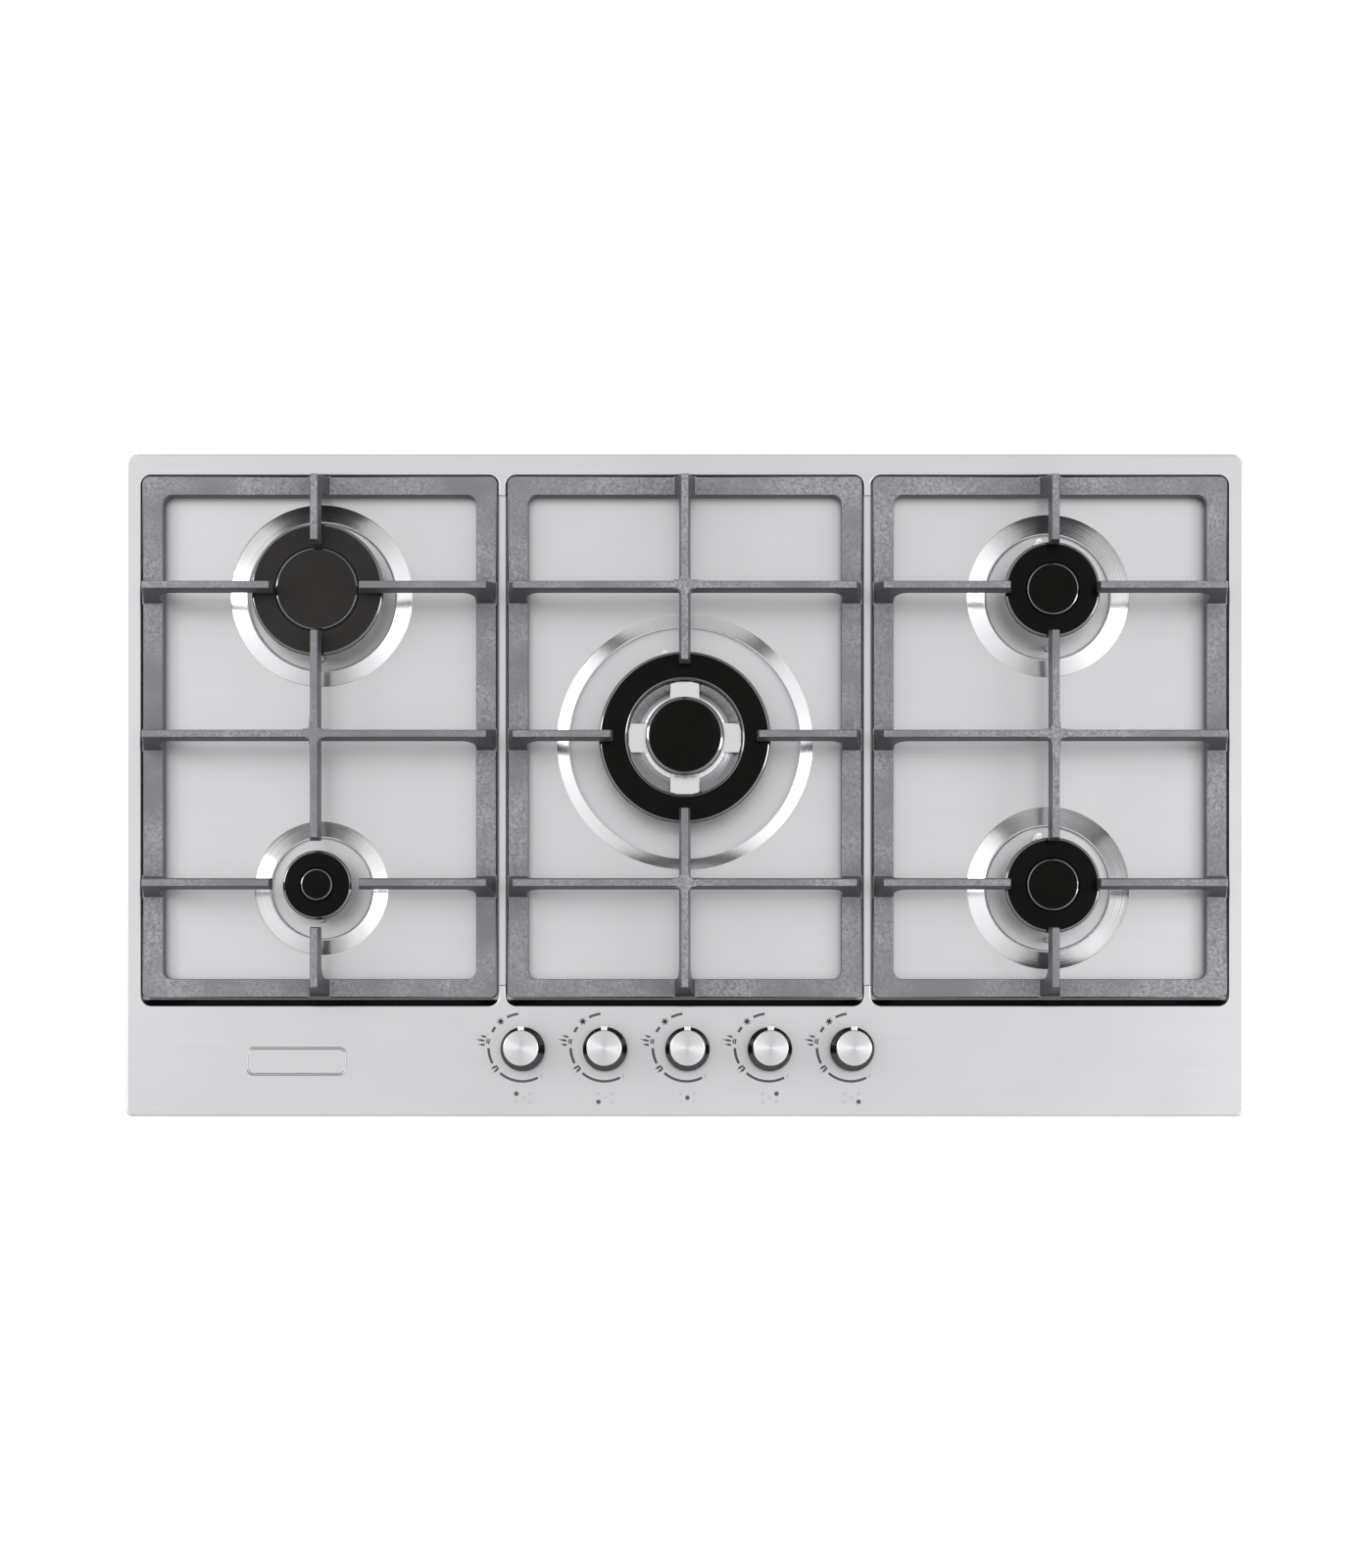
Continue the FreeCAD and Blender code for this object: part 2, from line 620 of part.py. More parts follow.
def bottom_tray():
    # a deep tray with a raised corner at the back right, where the inlets come out
    body = new_body("bottom_tray")
    half = trayWidth / 2
    deep = trayDepth / 2
    top = rimTop - sheetThick
    main = new_sketch(body, "XY_Plane", 0)
    outline(main, [(-half, -deep), (half, -deep), (half, stepY), (stepX, stepY),
                   (stepX, deep), (-half, deep)])
    pad(body, main, top)
    corner = new_sketch(body, "XY_Plane", stepRise)
    outline(corner, [(stepX, stepY), (half, stepY), (half, deep), (stepX, deep)])
    pad(body, corner, top - stepRise)

    inside = new_sketch(body, "XY_Plane", traySheet)
    outline(inside, [(traySheet - half, traySheet - deep), (half - traySheet, traySheet - deep),
                     (half - traySheet, stepY - traySheet), (stepX - traySheet, stepY - traySheet),
                     (stepX - traySheet, deep - traySheet), (traySheet - half, deep - traySheet)])
    pocket(body, inside, top, up=True)
    shelf = new_sketch(body, "XY_Plane", stepRise + traySheet)
    outline(shelf, [(stepX - 2 * traySheet, stepY - 2 * traySheet),
                    (half - traySheet, stepY - 2 * traySheet),
                    (half - traySheet, deep - traySheet), (stepX - 2 * traySheet, deep - traySheet)])
    pocket(body, shelf, top, up=True)
    under_wells = new_sketch(body, "XY_Plane", floorUnder)
    front = wellFront - sheetThick - traySheet
    outline(under_wells, [(-half - 1, front), (half + 1, front), (half + 1, deep + 1),
                          (-half - 1, deep + 1)])
    pocket(body, under_wells, top, up=True)

    holes = new_sketch(body, "XY_Plane", stepRise + traySheet)
    ring(holes, railX, deep - inletY, inletRadius + holeMargin)
    ring(holes, half - glandX, deep - glandY, glandRadius + holeMargin)
    for side_x in (-1, 1):
        for side_y in (-1, 1):
            ring(holes, side_x * fixingX, side_y * fixingY, fixingHole)
    pocket(body, holes, stepRise + traySheet)
    slots = new_sketch(body, "XY_Plane", traySheet)
    first = -(VENTS - 1) / 2 * ventPitch
    for side in (-1, 1):
        x = side * wellPitch / 2
        rounded(slots, x - ventLength / 2, x + ventLength / 2, first - ventWidth / 2,
                first + ventWidth / 2, ventCorner, ventCorner)
    slot = pocket(body, slots, traySheet)
    pattern = body.newObject("PartDesign::LinearPattern", "bottom_tray_vents")
    pattern.Originals = [slot]
    pattern.Direction = (origin_item(body, "Y_Axis"), [""])
    bind(pattern, "Length", (VENTS - 1) * ventPitch)
    pattern.Occurrences = VENTS
    body.Tip = pattern
    return body


# ---- pan supports ----
def support_line(label, pieces, middle, along_x, x, y):
    # one straight line of fingers: their side view, cut to a wedge that widens downwards
    low = frameTop - rootSink
    turn = Rotation(Vector(0, 0, 1), 0 if along_x else 90)
    side = doc.addObject("Sketcher::SketchObject", f"{label}_side")
    for start, end, start_leg, end_leg in pieces:
        finger_loop(side, start, end, start_leg, end_leg)
    side.Placement = Placement(Vector(), turn * Rotation(Vector(1, 0, 0), 90))
    solid = doc.addObject("Part::Extrusion", f"{label}_sideways")
    solid.Base = side
    solid.Solid = True
    solid.DirMode = "Normal"
    solid.Symmetric = True
    bind(solid, "LengthFwd", 2 * fingerBase)

    wedge = doc.addObject("Sketcher::SketchObject", f"{label}_section")
    slope = (fingerBase - fingerTop) / 2 / fingerRise
    base = fingerBase / 2 + slope * rootSink
    top = fingerTop / 2
    outline(wedge, [(-base, low), (base, low), (top, supportTop), (-top, supportTop)])
    wedge.Placement = Placement(Vector(), turn * Rotation(Vector(1, 1, 1), 120))
    run = doc.addObject("Part::Extrusion", f"{label}_lengthways")
    run.Base = wedge
    run.Solid = True
    run.DirMode = "Normal"
    run.Symmetric = True
    bind(run, "LengthFwd", 2 * supportLength)

    line = doc.addObject("Part::Common", f"{label}_fingers")
    line.Base = solid
    line.Tool = run
    place(line, x if not along_x else middle, middle if not along_x else y)
    return line


def finger_loop(sketch, start, end, start_leg, end_leg):
    # the side view of one finger, with a leg and its gusset where it is rooted;
    # each point has the centre of the arc that starts there, if one does
    low = frameTop - rootSink
    under = supportTop - fingerDeep
    if start_leg is None:
        points = [(start - tipSlope, under, None), (start, supportTop, None)]
    else:
        points = [(start + start_leg, low, None), (start + legInset, low, None),
                  (start + fingerInset, supportTop, None)]
    if end_leg is None:
        points += [(end, supportTop, None), (end + tipSlope, under, None)]
    else:
        inner = end - end_leg
        points += [(end - fingerInset, supportTop, None), (end - legInset, low, None),
                   (inner, low, None), (inner, under - gusset, 0),
                   (inner - gusset, under, None)]
    if start_leg is not None:
        inner = start + start_leg
        points += [(inner + gusset, under, 90), (inner, under - gusset, None)]
    items = []
    held = []
    for (x, y, turn), (next_x, next_y, _turn) in zip(points, points[1:] + points[:1]):
        if turn is None:
            items.append(line(sketch, (x, y), (next_x, next_y)))
        else:
            centre_x = next_x if turn == 0 else x
            items.append(quarter(sketch, centre_x, under - gusset, gusset, turn))
            held.append(hold("DistanceX", items[-1], 3, centre_x))
        held += hold_point(items[-1], 1, x, y)
    constrain(sketch, join(items) + held)


def crossing(label, x, y):
    # a cross whose four inner corners are hollow quarter circles
    half = fingerTop / 2
    out = half + crossFill
    sketch = doc.addObject("Sketcher::SketchObject", f"{label}_outline")
    items = []
    held = []
    for start, end, centre, turn in (
            ((-half, out), (half, out), None, None), ((half, out), (out, half), (out, out), 180),
            ((out, half), (out, -half), None, None), ((out, -half), (half, -out), (out, -out), 90),
            ((half, -out), (-half, -out), None, None), ((-half, -out), (-out, -half), (-out, -out), 0),
            ((-out, -half), (-out, half), None, None), ((-out, half), (-half, out), (-out, out), 270)):
        if centre is None:
            items.append(line(sketch, start, end))
            held += hold_point(items[-1], 1, *start)
        else:
            items.append(quarter(sketch, *centre, crossFill, turn))
            held += hold_point(items[-1], 3, *centre)
    constrain(sketch, join(items) + held)
    fill = doc.addObject("Part::Extrusion", label)
    fill.Base = sketch
    fill.Solid = True
    fill.DirMode = "Normal"
    bind(fill, "LengthFwd", fingerDeep)
    place(fill, x, y, supportTop - fingerDeep)
    return fill


def support_frame(label, middle):
    body = new_body(f"{label}_frame", middle, 0)
    half = supportWidth / 2
    sketch = new_sketch(body, "XY_Plane", frameBottom)
    rounded(sketch, -half, half, supportFront, supportBack, barOuter, barOuter)
    rounded(sketch, barSide - half, half - barSide, supportFront + barEnd, supportBack - barEnd,
            barInner, barInner)
    pad(body, sketch, barHeight)
    pads = new_sketch(body, "XY_Plane", floorTop)
    for x in (-half + barSide / 2, half - barSide / 2):
        for y in (supportFront + barSide / 2, supportBack - barSide / 2):
            ring(pads, x, y, padRadius)
    body.Tip = pad(body, pads, padHeight)
    return body


def pan_support(label, column):
    middle = column * wellPitch
    half = supportWidth / 2
    rear = middleY + rowPitch
    front = middleY - rowPitch
    pieces = [support_frame(label, middle)]
    full = [(-half, half, barSide, barSide)]
    if column:
        split = [(-half, -tipReach, barSide, None), (tipReach, half, None, barSide)]
        rows = ((rear, split), (middleY, full), (front, split))
        upright = [
            (supportFront, front - tipReach, barEnd, None),
            (front + tipReach, rear - tipReach, None, None),
            (rear + tipReach, supportBack, None, barEnd)]
        crossed = [middleY]
    else:
        split = [(-half, -tipReachWide, barSide, None), (tipReachWide, half, None, barSide)]
        rows = ((rear, full), (middleY, split), (front, full))
        upright = [
            (supportFront, middleY - tipReachWide, barEnd, None),
            (middleY + tipReachWide, supportBack, None, barEnd)]
        crossed = [rear, front]
    for index, (row, fingers) in enumerate(rows):
        pieces.append(support_line(f"{label}_row{index}", fingers, middle, True, middle, row))
    pieces.append(support_line(f"{label}_column", upright, 0, False, middle, 0))
    for index, row in enumerate(crossed):
        pieces.append(crossing(f"{label}_cross{index}", middle, row))
    whole = doc.addObject("Part::MultiFuse", label)
    whole.Label = label
    whole.Shapes = pieces
    whole.Refine = True
    return whole


# ---- burners ----
def burner_cup(name):
    kind, *_ignored = BURNERS[name]
    x, y = burner_place(name)
    inner = neckBore + neckWall + neckGap
    outer = inner + cupWall
    reach = plug_reach(kind)
    flange = reach + cupFlange
    base = cupBottom + cupWall
    body = turned(f"burner_cup_{name}", [
        (0, cupBottom), (outer, cupBottom), (outer, dishUnder - cupWall),
        (flange, dishUnder - cupWall), (flange, dishUnder), (inner, dishUnder),
        (inner, base), (postRadius, base), (postRadius, base + postHeight),
        (injectorRadius, base + postHeight), (injectorRadius, base + postHeight + injectorHeight),
        (0, base + postHeight + injectorHeight)], x, y)
    side = BURNERS[name][1]
    root = postRadius / 2
    boss = new_sketch(body, "YZ_Plane" if side else "XZ_Plane", -side * root if side else root)
    ring(boss, 0, tubeLevel, bossRadius)
    pad(body, boss, outer + bossLength - root, down=side > 0)
    holes = new_sketch(body, "XY_Plane", dishUnder)
    for radius, turn in ((ceramicRadius, PLUG_TURN), (probeRadius, PROBE_TURN)):
        ring(holes, *around(reach, turn), radius + plugGap)
    body.Tip = pocket(body, holes, 2 * cupWall)
    return body


def flame_ports(body, radius, wall, top, width, count):
    # slots through the top of a head's wall, open upwards under the cap
    sketch = new_sketch(body, "XY_Plane", top)
    outline(sketch, [(radius - wall - 1, -width / 2), (radius + 1, -width / 2),
                     (radius + 1, width / 2), (radius - wall - 1, width / 2)])
    first = pocket(body, sketch, portDeep)
    return repeat_round(body, first, count)


def burner_head(name):
    kind, *_ignored = BURNERS[name]
    x, y = burner_place(name)
    sizes = RINGS[kind]
    radius = sizes["head"]
    neck = neckBore + neckWall
    low = dishFloor - neckDrop
    chamber = dishFloor + baseThick
    body = turned(f"burner_head_{name}", [
        (neckBore, low), (neck, low), (neck, dishFloor), (radius - 2, dishFloor),
        (radius - 2, dishFloor + baseThick), (radius - portWall, headTop - 2 * portDeep - 2),
        (radius, headTop - portDeep - 2), (radius, headTop), (radius - portWall, headTop),
        (radius - portWall, headTop - portDeep - 3), (radius - 2 * portWall, chamber),
        (neckBore, chamber)], x, y)
    flame_ports(body, radius, portWall, headTop, sizes["slot"], sizes["ports"])
    return body


def triple_head(name):
    # two crowns in one casting: an outer ring of ports, four lugs and a raised inner crown
    x, y = burner_place(name)
    sizes = RINGS["triple"]
    radius = sizes["head"]
    neck = neckBore + neckWall
    low = dishFloor - neckDrop
    chamber = dishFloor + baseThick
    innerTop = headTop + crownRise
    crown = innerTop - portDeep - lugDrop
    valley = crown - crownSlope
    body = turned(f"burner_head_{name}", [
        (neckBore, low), (neck, low), (neck, dishFloor), (radius - 2, dishFloor),
        (radius - 2, dishFloor + baseThick), (radius - portWall, headTop - 2 * portDeep - 2),
        (radius, headTop - portDeep - 2), (radius, headTop), (radius - portWall, headTop),
        (radius - portWall, headTop - portDeep - 3), (radius - 2 * portWall, chamber),
        (crownOuter, chamber), (crownOuter, valley), (innerHead + crownRim, crown),
        (innerHead, crown), (innerHead, innerTop),
        (innerHead - innerWall, innerTop), (innerHead - innerWall, chamber), (neckBore, chamber)],
        x, y)
    lugs = new_sketch(body, "XY_Plane", crown)
    edge = innerHead - innerWall / 2
    half = lugWidth / 2
    end = crownOuter - lugInset
    outline(lugs, [(edge, -half), (crownOuter - lugCorner, -half), (end, -half / 2),
                   (end, half / 2), (crownOuter - lugCorner, half), (edge, half)])
    lug = pad(body, lugs, crownSlope, down=True)
    repeat_round(body, lug, 4)
    flame_ports(body, radius, portWall, headTop, sizes["slot"], sizes["ports"])
    flame_ports(body, innerHead, innerWall, innerTop, RINGS["semi"]["slot"], innerPorts)
    return body


def cap_profile(radius, disc, bore, bottom, domed=False):
    # half section: flat underside with a locating ring, a sloping rim, a raised disc or a dome
    top = bottom + capThick
    key = bore - capGap
    lower = [
        (0, bottom), (key - capKeyWall, bottom), (key - capKeyWall, bottom - capKeyDrop),
        (key, bottom - capKeyDrop), (key, bottom), (radius - capRim, bottom),
        (radius, bottom + capRim), (radius, bottom + capThick / 2)]
    if domed:
        return lower + [(radius * share, top - capRim + domeRise * (1 - share * share))
                        for share in (0.95, 0.8, 0.6, 0.4, 0.2, 0)]
    return lower + [(radius - 2, top - capRim), (disc + 1.5, top), (disc, top + capRise / 2),
                    (disc - 1.5, top + capRise), (0, top + capRise)]


def burner_cap(name):
    kind, *_ignored = BURNERS[name]
    x, y = burner_place(name)
    sizes = RINGS[kind]
    bore = sizes["head"] - portWall
    return turned(f"burner_cap_{name}",
                  cap_profile(sizes["cap"], sizes["disc"], bore, headTop, kind == "auxiliary"), x, y)


def triple_caps(name):
    x, y = burner_place(name)
    sizes = RINGS["triple"]
    radius = sizes["cap"]
    bore = sizes["head"] - portWall
    top = headTop + capThick
    turned(f"ring_cap_{name}", [
        (crownOuter + turnGap, headTop), (bore - capGap - capKeyWall, headTop),
        (bore - capGap - capKeyWall, headTop - capKeyDrop),
        (bore - capGap, headTop - capKeyDrop), (bore - capGap, headTop),
        (radius - capRim, headTop), (radius, headTop + capRim), (radius, headTop + capThick / 2),
        (radius - 2, top - capRim), (sizes["disc"], top), (crownOuter + 3, top),
        (crownOuter + turnGap, top - 1.5)], x, y)
    turned(f"burner_cap_{name}", cap_profile(
        innerCap, innerDisc, innerHead - innerWall, headTop + crownRise), x, y)


def spark_plug(name):
    kind, *_ignored = BURNERS[name]
    x, y = burner_place(name)
    across, along = around(plug_reach(kind), PLUG_TURN)
    base = dishUnder - cupWall
    tip = headTop - tipGap
    shoulder = tip - sparkShow
    return turned(f"spark_plug_{name}", [
        (0, base - collarHeight), (plugCollar, base - collarHeight), (plugCollar, base),
        (ceramicRadius, base), (ceramicRadius, shoulder), (sparkPin, shoulder), (sparkPin, tip),
        (0, tip)], x + across, y + along)


def flame_probe(name):
    kind, *_ignored = BURNERS[name]
    x, y = burner_place(name)
    across, along = around(plug_reach(kind), PROBE_TURN)
    base = dishUnder - cupWall
    tip = headTop - tipGap
    return turned(f"flame_probe_{name}", [
        (0, base - collarHeight), (plugCollar, base - collarHeight), (plugCollar, base),
        (probeRadius, base), (probeRadius, tip - 1), (probeRadius - 1, tip), (0, tip)],
        x + across, y + along)


# ---- valves and knobs ----
def gas_valve(name):
    # a body that sits astride the rail, bored for its turning plug
    label = f"gas_valve_{name}"
    body = new_body(label, knob_x(name), knobY)
    bottom = tubeLevel - bossRadius - valveSkin
    half = valveWidth / 2
    sketch = new_sketch(body, "XY_Plane", bottom)
    outline(sketch, [(-half, railY - knobY), (half, railY - knobY), (half, valveReach),
                     (-half, valveReach)])
    pad(body, sketch, valveFace - bottom)
    neck = new_sketch(body, "XY_Plane", valveFace)
    ring(neck, 0, 0, valveNeck)
    pad(body, neck, neckHeight)
    outlet = new_sketch(body, "XZ_Plane", -valveReach)
    ring(outlet, 0, tubeLevel, bossRadius)
    pad(body, outlet, bossLength, down=True)
    bore = new_sketch(body, "XY_Plane", valveFace + neckHeight)
    ring(bore, 0, 0, plugRadius + turnGap)
    pocket(body, bore, plugLength - plugShow)
    saddle = new_sketch(body, "YZ_Plane", half)
    ring(saddle, railY - knobY, railLift, railRadius + saddleGap)
    body.Tip = pocket(body, saddle, valveWidth)
    return body


def valve_plug(name):
    top = valveFace + neckHeight + plugShow
    bottom = top - plugLength
    hollow = spindleRadius + turnGap
    body = turned(f"valve_plug_{name}", [
        (0, bottom), (plugRadius, bottom), (plugRadius, top), (hollow, top),
        (hollow, top - plugShow - spindleDrop - knobTravel - plugShow),
        (0, top - plugShow - spindleDrop - knobTravel - plugShow)], knob_x(name), knobY)
    return body


def spindle(name):
    label = f"spindle_{name}"
    body = new_body(label, knob_x(name), knobY)
    low = valveFace + neckHeight - spindleDrop
    high = knobBottom + spindleGrip
    sketch = new_sketch(body, "XY_Plane", low)
    ring(sketch, 0, 0, spindleRadius)
    pad(body, sketch, high - low)
    flat = new_sketch(body, "XY_Plane", high)
    edge = spindleRadius - spindleFlat
    out = spindleRadius + 1
    outline(flat, [(-out, edge), (out, edge), (out, out), (-out, out)])
    body.Tip = pocket(body, flat, spindleGrip)
    return body


def knob(name):
    # a hollow skirt, a barrel with a flat spun top, a hub and a pointer rib at the back
    under = knobBottom + knobHollow
    slope = knobBottom + skirtHeight
    shaft = spindleRadius + gripGap
    grip = knobBottom + spindleGrip
    body = turned(f"knob_{name}", [
        (shaft, knobBottom), (hubRadius, knobBottom), (hubRadius, under),
        (knobSkirt - knobWall, under), (knobSkirt - knobWall, knobBottom),
        (knobSkirt, knobBottom), (knobSkirt, slope), (knobTop, slope + skirtSlope),
        (knobTop, knobFace - knobEdge), (knobTop - knobEdge, knobFace), (0, knobFace),
        (0, grip), (shaft, grip)], knob_x(name), knobY)
    rib = new_sketch(body, "XY_Plane", knobFace - pointerDrop)
    half = pointerWidth / 2
    outline(rib, [(-half, knobTop - 2), (half, knobTop - 2), (half, knobSkirt - 0.4),
                  (-half, knobSkirt - 0.4)])
    body.Tip = pad(body, rib, knobFace - pointerDrop - slope, down=True)
    return body


# ---- gas rail, feed tubes, inlets ----
def bent_rod(label, points, radius, bend):
    # a round rod along straight runs joined by tangent arcs
    corners = [Vector(*[number(value) for value in point]) for point in points]
    edges = []
    start = corners[0]
    for before, corner, after in zip(corners, corners[1:], corners[2:]):
        into = (corner - before).normalize()
        away = (after - corner).normalize()
        turn = into.getAngle(away)
        if turn < 1e-6:
            continue
        back = number(bend) * math.tan(turn / 2)
        enter = corner - into * back
        leave = corner + away * back
        inward = (away - into).normalize()
        middle = corner + inward * (number(bend) / math.cos(turn / 2) - number(bend))
        edges.append(Part.LineSegment(start, enter).toShape())
        edges.append(Part.Arc(enter, middle, leave).toShape())
        start = leave
    edges.append(Part.LineSegment(start, corners[-1]).toShape())
    first = (corners[1] - corners[0]).normalize()
    profile = Part.Wire(Part.makeCircle(number(radius), corners[0], first))
    rod = Part.Wire(edges).makePipeShell([profile], True, False)
    feature = doc.addObject("Part::Feature", label)
    feature.Label = label
    feature.Shape = rod
    return feature


def feed_tube(name):
    column, row = BURNERS[name][1:]
    x, y = burner_place(name)
    start = knobY + valveReach + bossLength
    cup = neckBore + neckWall + neckGap + cupWall + bossLength
    lane = knob_x(name)
    label = f"feed_tube_{name}"
    if not column:
        points = [(lane, start, tubeLevel), (lane, start + dipRun, tubeLevel),
                  (x, y - cup - dipRun, tubeLevel), (x, y - cup, tubeLevel)]
        return bent_rod(label, points, tubeRadius, tubeBend)
    points = [(lane, start, tubeLevel)]
    if column < 0 and row > 0:
        passed = middleY - rowPitch
        low = tubeLevel - tubeDip
        points += [
            (lane, passed - dipReach, tubeLevel), (lane, passed - dipReach + dipRun, low),
            (lane, passed + dipReach - dipRun, low), (lane, passed + dipReach, tubeLevel)]
    points += [(lane, y, tubeLevel), (x - column * cup, y, tubeLevel)]
    return bent_rod(label, points, tubeRadius, tubeBend)


def gas_rail():
    # the rail runs along the valves and down the right side to the threaded inlet
    left = knob_x(KNOB_ORDER[0]) - railEnd
    back = trayDepth / 2 - inletY
    nut = stepRise + traySheet
    rod = bent_rod("gas_rail_run", [
        (left, railY, railLift), (railX, railY, railLift), (railX, back, railLift)],
        railRadius, railBend)
    elbow = doc.addObject("Part::Cylinder", "gas_rail_elbow")
    bind(elbow, "Radius", inletNut - 2)
    bind(elbow, "Height", railLift + railRadius + 1 - nut)
    place(elbow, railX, back, nut)
    hexagon = doc.addObject("Part::Prism", "gas_rail_nut")
    hexagon.Polygon = 6
    bind(hexagon, "Circumradius", inletNut)
    bind(hexagon, "Height", nutHeight)
    place(hexagon, railX, back, nut)
    thread = doc.addObject("Part::Cylinder", "gas_rail_thread")
    bind(thread, "Radius", inletRadius)
    bind(thread, "Height", inletLength - inletRelief)
    place(thread, railX, back, stepRise - inletLength)
    relief = doc.addObject("Part::Cylinder", "gas_rail_relief")
    bind(relief, "Radius", inletRadius - reliefDepth)
    bind(relief, "Height", inletLength + traySheet)
    place(relief, railX, back, stepRise - inletLength)
    joined = doc.addObject("Part::MultiFuse", "gas_rail_joined")
    joined.Shapes = [rod, elbow, hexagon, thread, relief]
    bore = doc.addObject("Part::Cylinder", "gas_rail_bore")
    bind(bore, "Radius", inletBore)
    bind(bore, "Height", inletLength)
    place(bore, railX, back, stepRise - inletLength)
    rail = doc.addObject("Part::Cut", "gas_rail")
    rail.Label = "gas_rail"
    rail.Base = joined
    rail.Tool = bore
    return rail


def cable_gland():
    top = stepRise + traySheet
    return turned("cable_gland", [
        (glandBore, stepRise - glandLength), (glandRadius, stepRise - glandLength),
        (glandRadius, top), (glandFlange, top), (glandFlange, top + glandCap),
        (glandBore, top + glandCap)], trayWidth / 2 - glandX, trayDepth / 2 - glandY)


def spark_module():
    body = new_body("spark_module")
    sketch = new_sketch(body, "XY_Plane", traySheet)
    back = trayDepth / 2 - moduleBack
    rounded(sketch, -moduleWidth / 2, moduleWidth / 2, back - moduleDepth, back,
            moduleCorner, moduleCorner)
    body.Tip = pad(body, sketch, moduleHeight)
    return body


top_plate()
worktop_seal()
bottom_tray()
for side, column in (("left", -1), ("middle", 0), ("right", 1)):
    pan_support(f"pan_support_{side}", column)
for name in KNOB_ORDER:
    burner_cup(name)
    if name == "centre":
        triple_head(name)
        triple_caps(name)
    else:
        burner_head(name)
        burner_cap(name)
    spark_plug(name)
    flame_probe(name)
    gas_valve(name)
    valve_plug(name)
    spindle(name)
    knob(name)
    feed_tube(name)
gas_rail()
cable_gland()
spark_module()
doc.recompute()

# ---- checks, then one file for each piece ----
NODES = ["top_plate", "worktop_seal", "bottom_tray", "ring_cap_centre",
         "gas_rail", "cable_gland", "spark_module"]
NODES += [f"pan_support_{side}" for side in ("left", "middle", "right")]
for stem in ("burner_cup", "burner_head", "burner_cap", "spark_plug", "flame_probe",
             "gas_valve", "valve_plug", "spindle", "knob", "feed_tube"):
    NODES += [f"{stem}_{name}" for name in KNOB_ORDER]

faults = [item.Name for item in doc.Objects if {"Invalid", "Error"} & set(item.State)]
for label in NODES:
    shape = doc.getObjectsByLabel(label)[0].Shape
    if shape.isNull() or not shape.isValid() or not shape.Solids:
        faults.append(label)
if faults:
    raise RuntimeError("failed: " + ", ".join(faults))
for label in NODES:
    shape = doc.getObjectsByLabel(label)[0].Shape
    shape.exportStep(f"parts/{label}.step")
    box = shape.BoundBox
    print(f"{label}: {len(shape.Solids)} solid, {shape.Volume / 1000:.2f} cm3, "
          f"z {box.ZMin:.1f} to {box.ZMax:.1f}")
print(len(NODES), "pieces")
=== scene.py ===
import bmesh
import bpy
import math
from mathutils import Matrix, Vector


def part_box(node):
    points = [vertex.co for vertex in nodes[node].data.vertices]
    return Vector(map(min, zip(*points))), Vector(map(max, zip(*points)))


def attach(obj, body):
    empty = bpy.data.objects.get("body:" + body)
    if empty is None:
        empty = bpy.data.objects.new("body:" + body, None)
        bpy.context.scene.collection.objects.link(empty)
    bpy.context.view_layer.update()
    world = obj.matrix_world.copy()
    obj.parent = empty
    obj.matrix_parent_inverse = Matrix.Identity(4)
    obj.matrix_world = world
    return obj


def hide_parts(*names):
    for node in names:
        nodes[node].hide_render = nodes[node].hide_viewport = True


# five-burner gas cooktop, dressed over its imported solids; metres, the same frame
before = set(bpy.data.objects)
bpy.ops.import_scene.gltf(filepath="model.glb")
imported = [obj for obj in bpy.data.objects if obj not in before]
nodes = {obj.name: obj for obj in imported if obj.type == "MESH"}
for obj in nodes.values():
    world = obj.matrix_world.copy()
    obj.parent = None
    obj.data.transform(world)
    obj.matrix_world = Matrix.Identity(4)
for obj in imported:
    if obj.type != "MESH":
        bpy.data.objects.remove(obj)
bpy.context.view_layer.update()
places = ("rear_left", "front_left", "centre", "rear_right", "front_right")
print("loaded", len(nodes), "nodes")

plate = {"top": 0.065, "floor": 0.057}
slack = {"level": 0.00002, "circle": 0.0002}     # how closely a packed vertex lies on a level or a circle


def middleOf(name):
    low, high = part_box(name)
    return (low + high) / 2


burners = {name: middleOf("burner_head_" + name) for name in places}
knobs = {name: middleOf("spindle_" + name) for name in places}

# the bright ring of each dish: inner and outer radius, and the slope its bead is rolled by
dishes = {
    "rear_left": {"inner": 0.058, "outer": 0.070, "rolled": 0.92},
    "front_left": {"inner": 0.040, "outer": 0.0515, "rolled": 1.05},
    "centre": {"inner": 0.0895, "outer": 0.0985, "rolled": 0.75},
    "rear_right": {"inner": 0.049, "outer": 0.0625, "rolled": 0.92},
    "front_right": {"inner": 0.049, "outer": 0.0625, "rolled": 1.05},
}


# ---- materials ----
def hexColor(code):
    # sRGB hex to linear
    parts = [int(code[i:i + 2], 16) / 255 for i in (1, 3, 5)]
    return [c / 12.92 if c <= 0.04045 else ((c + 0.055) / 1.055) ** 2.4 for c in parts] + [1.0]


def addNode(tree, kind, inputs=None, **settings):
    # one node with its settings; a socket given as a value is linked
    node = tree.nodes.new("ShaderNode" + kind)
    for key, value in settings.items():
        setattr(node, key, value)
    for key, value in (inputs or {}).items():
        if isinstance(value, bpy.types.NodeSocket):
            tree.links.new(value, node.inputs[key])
        else:
            node.inputs[key].default_value = value
    return node


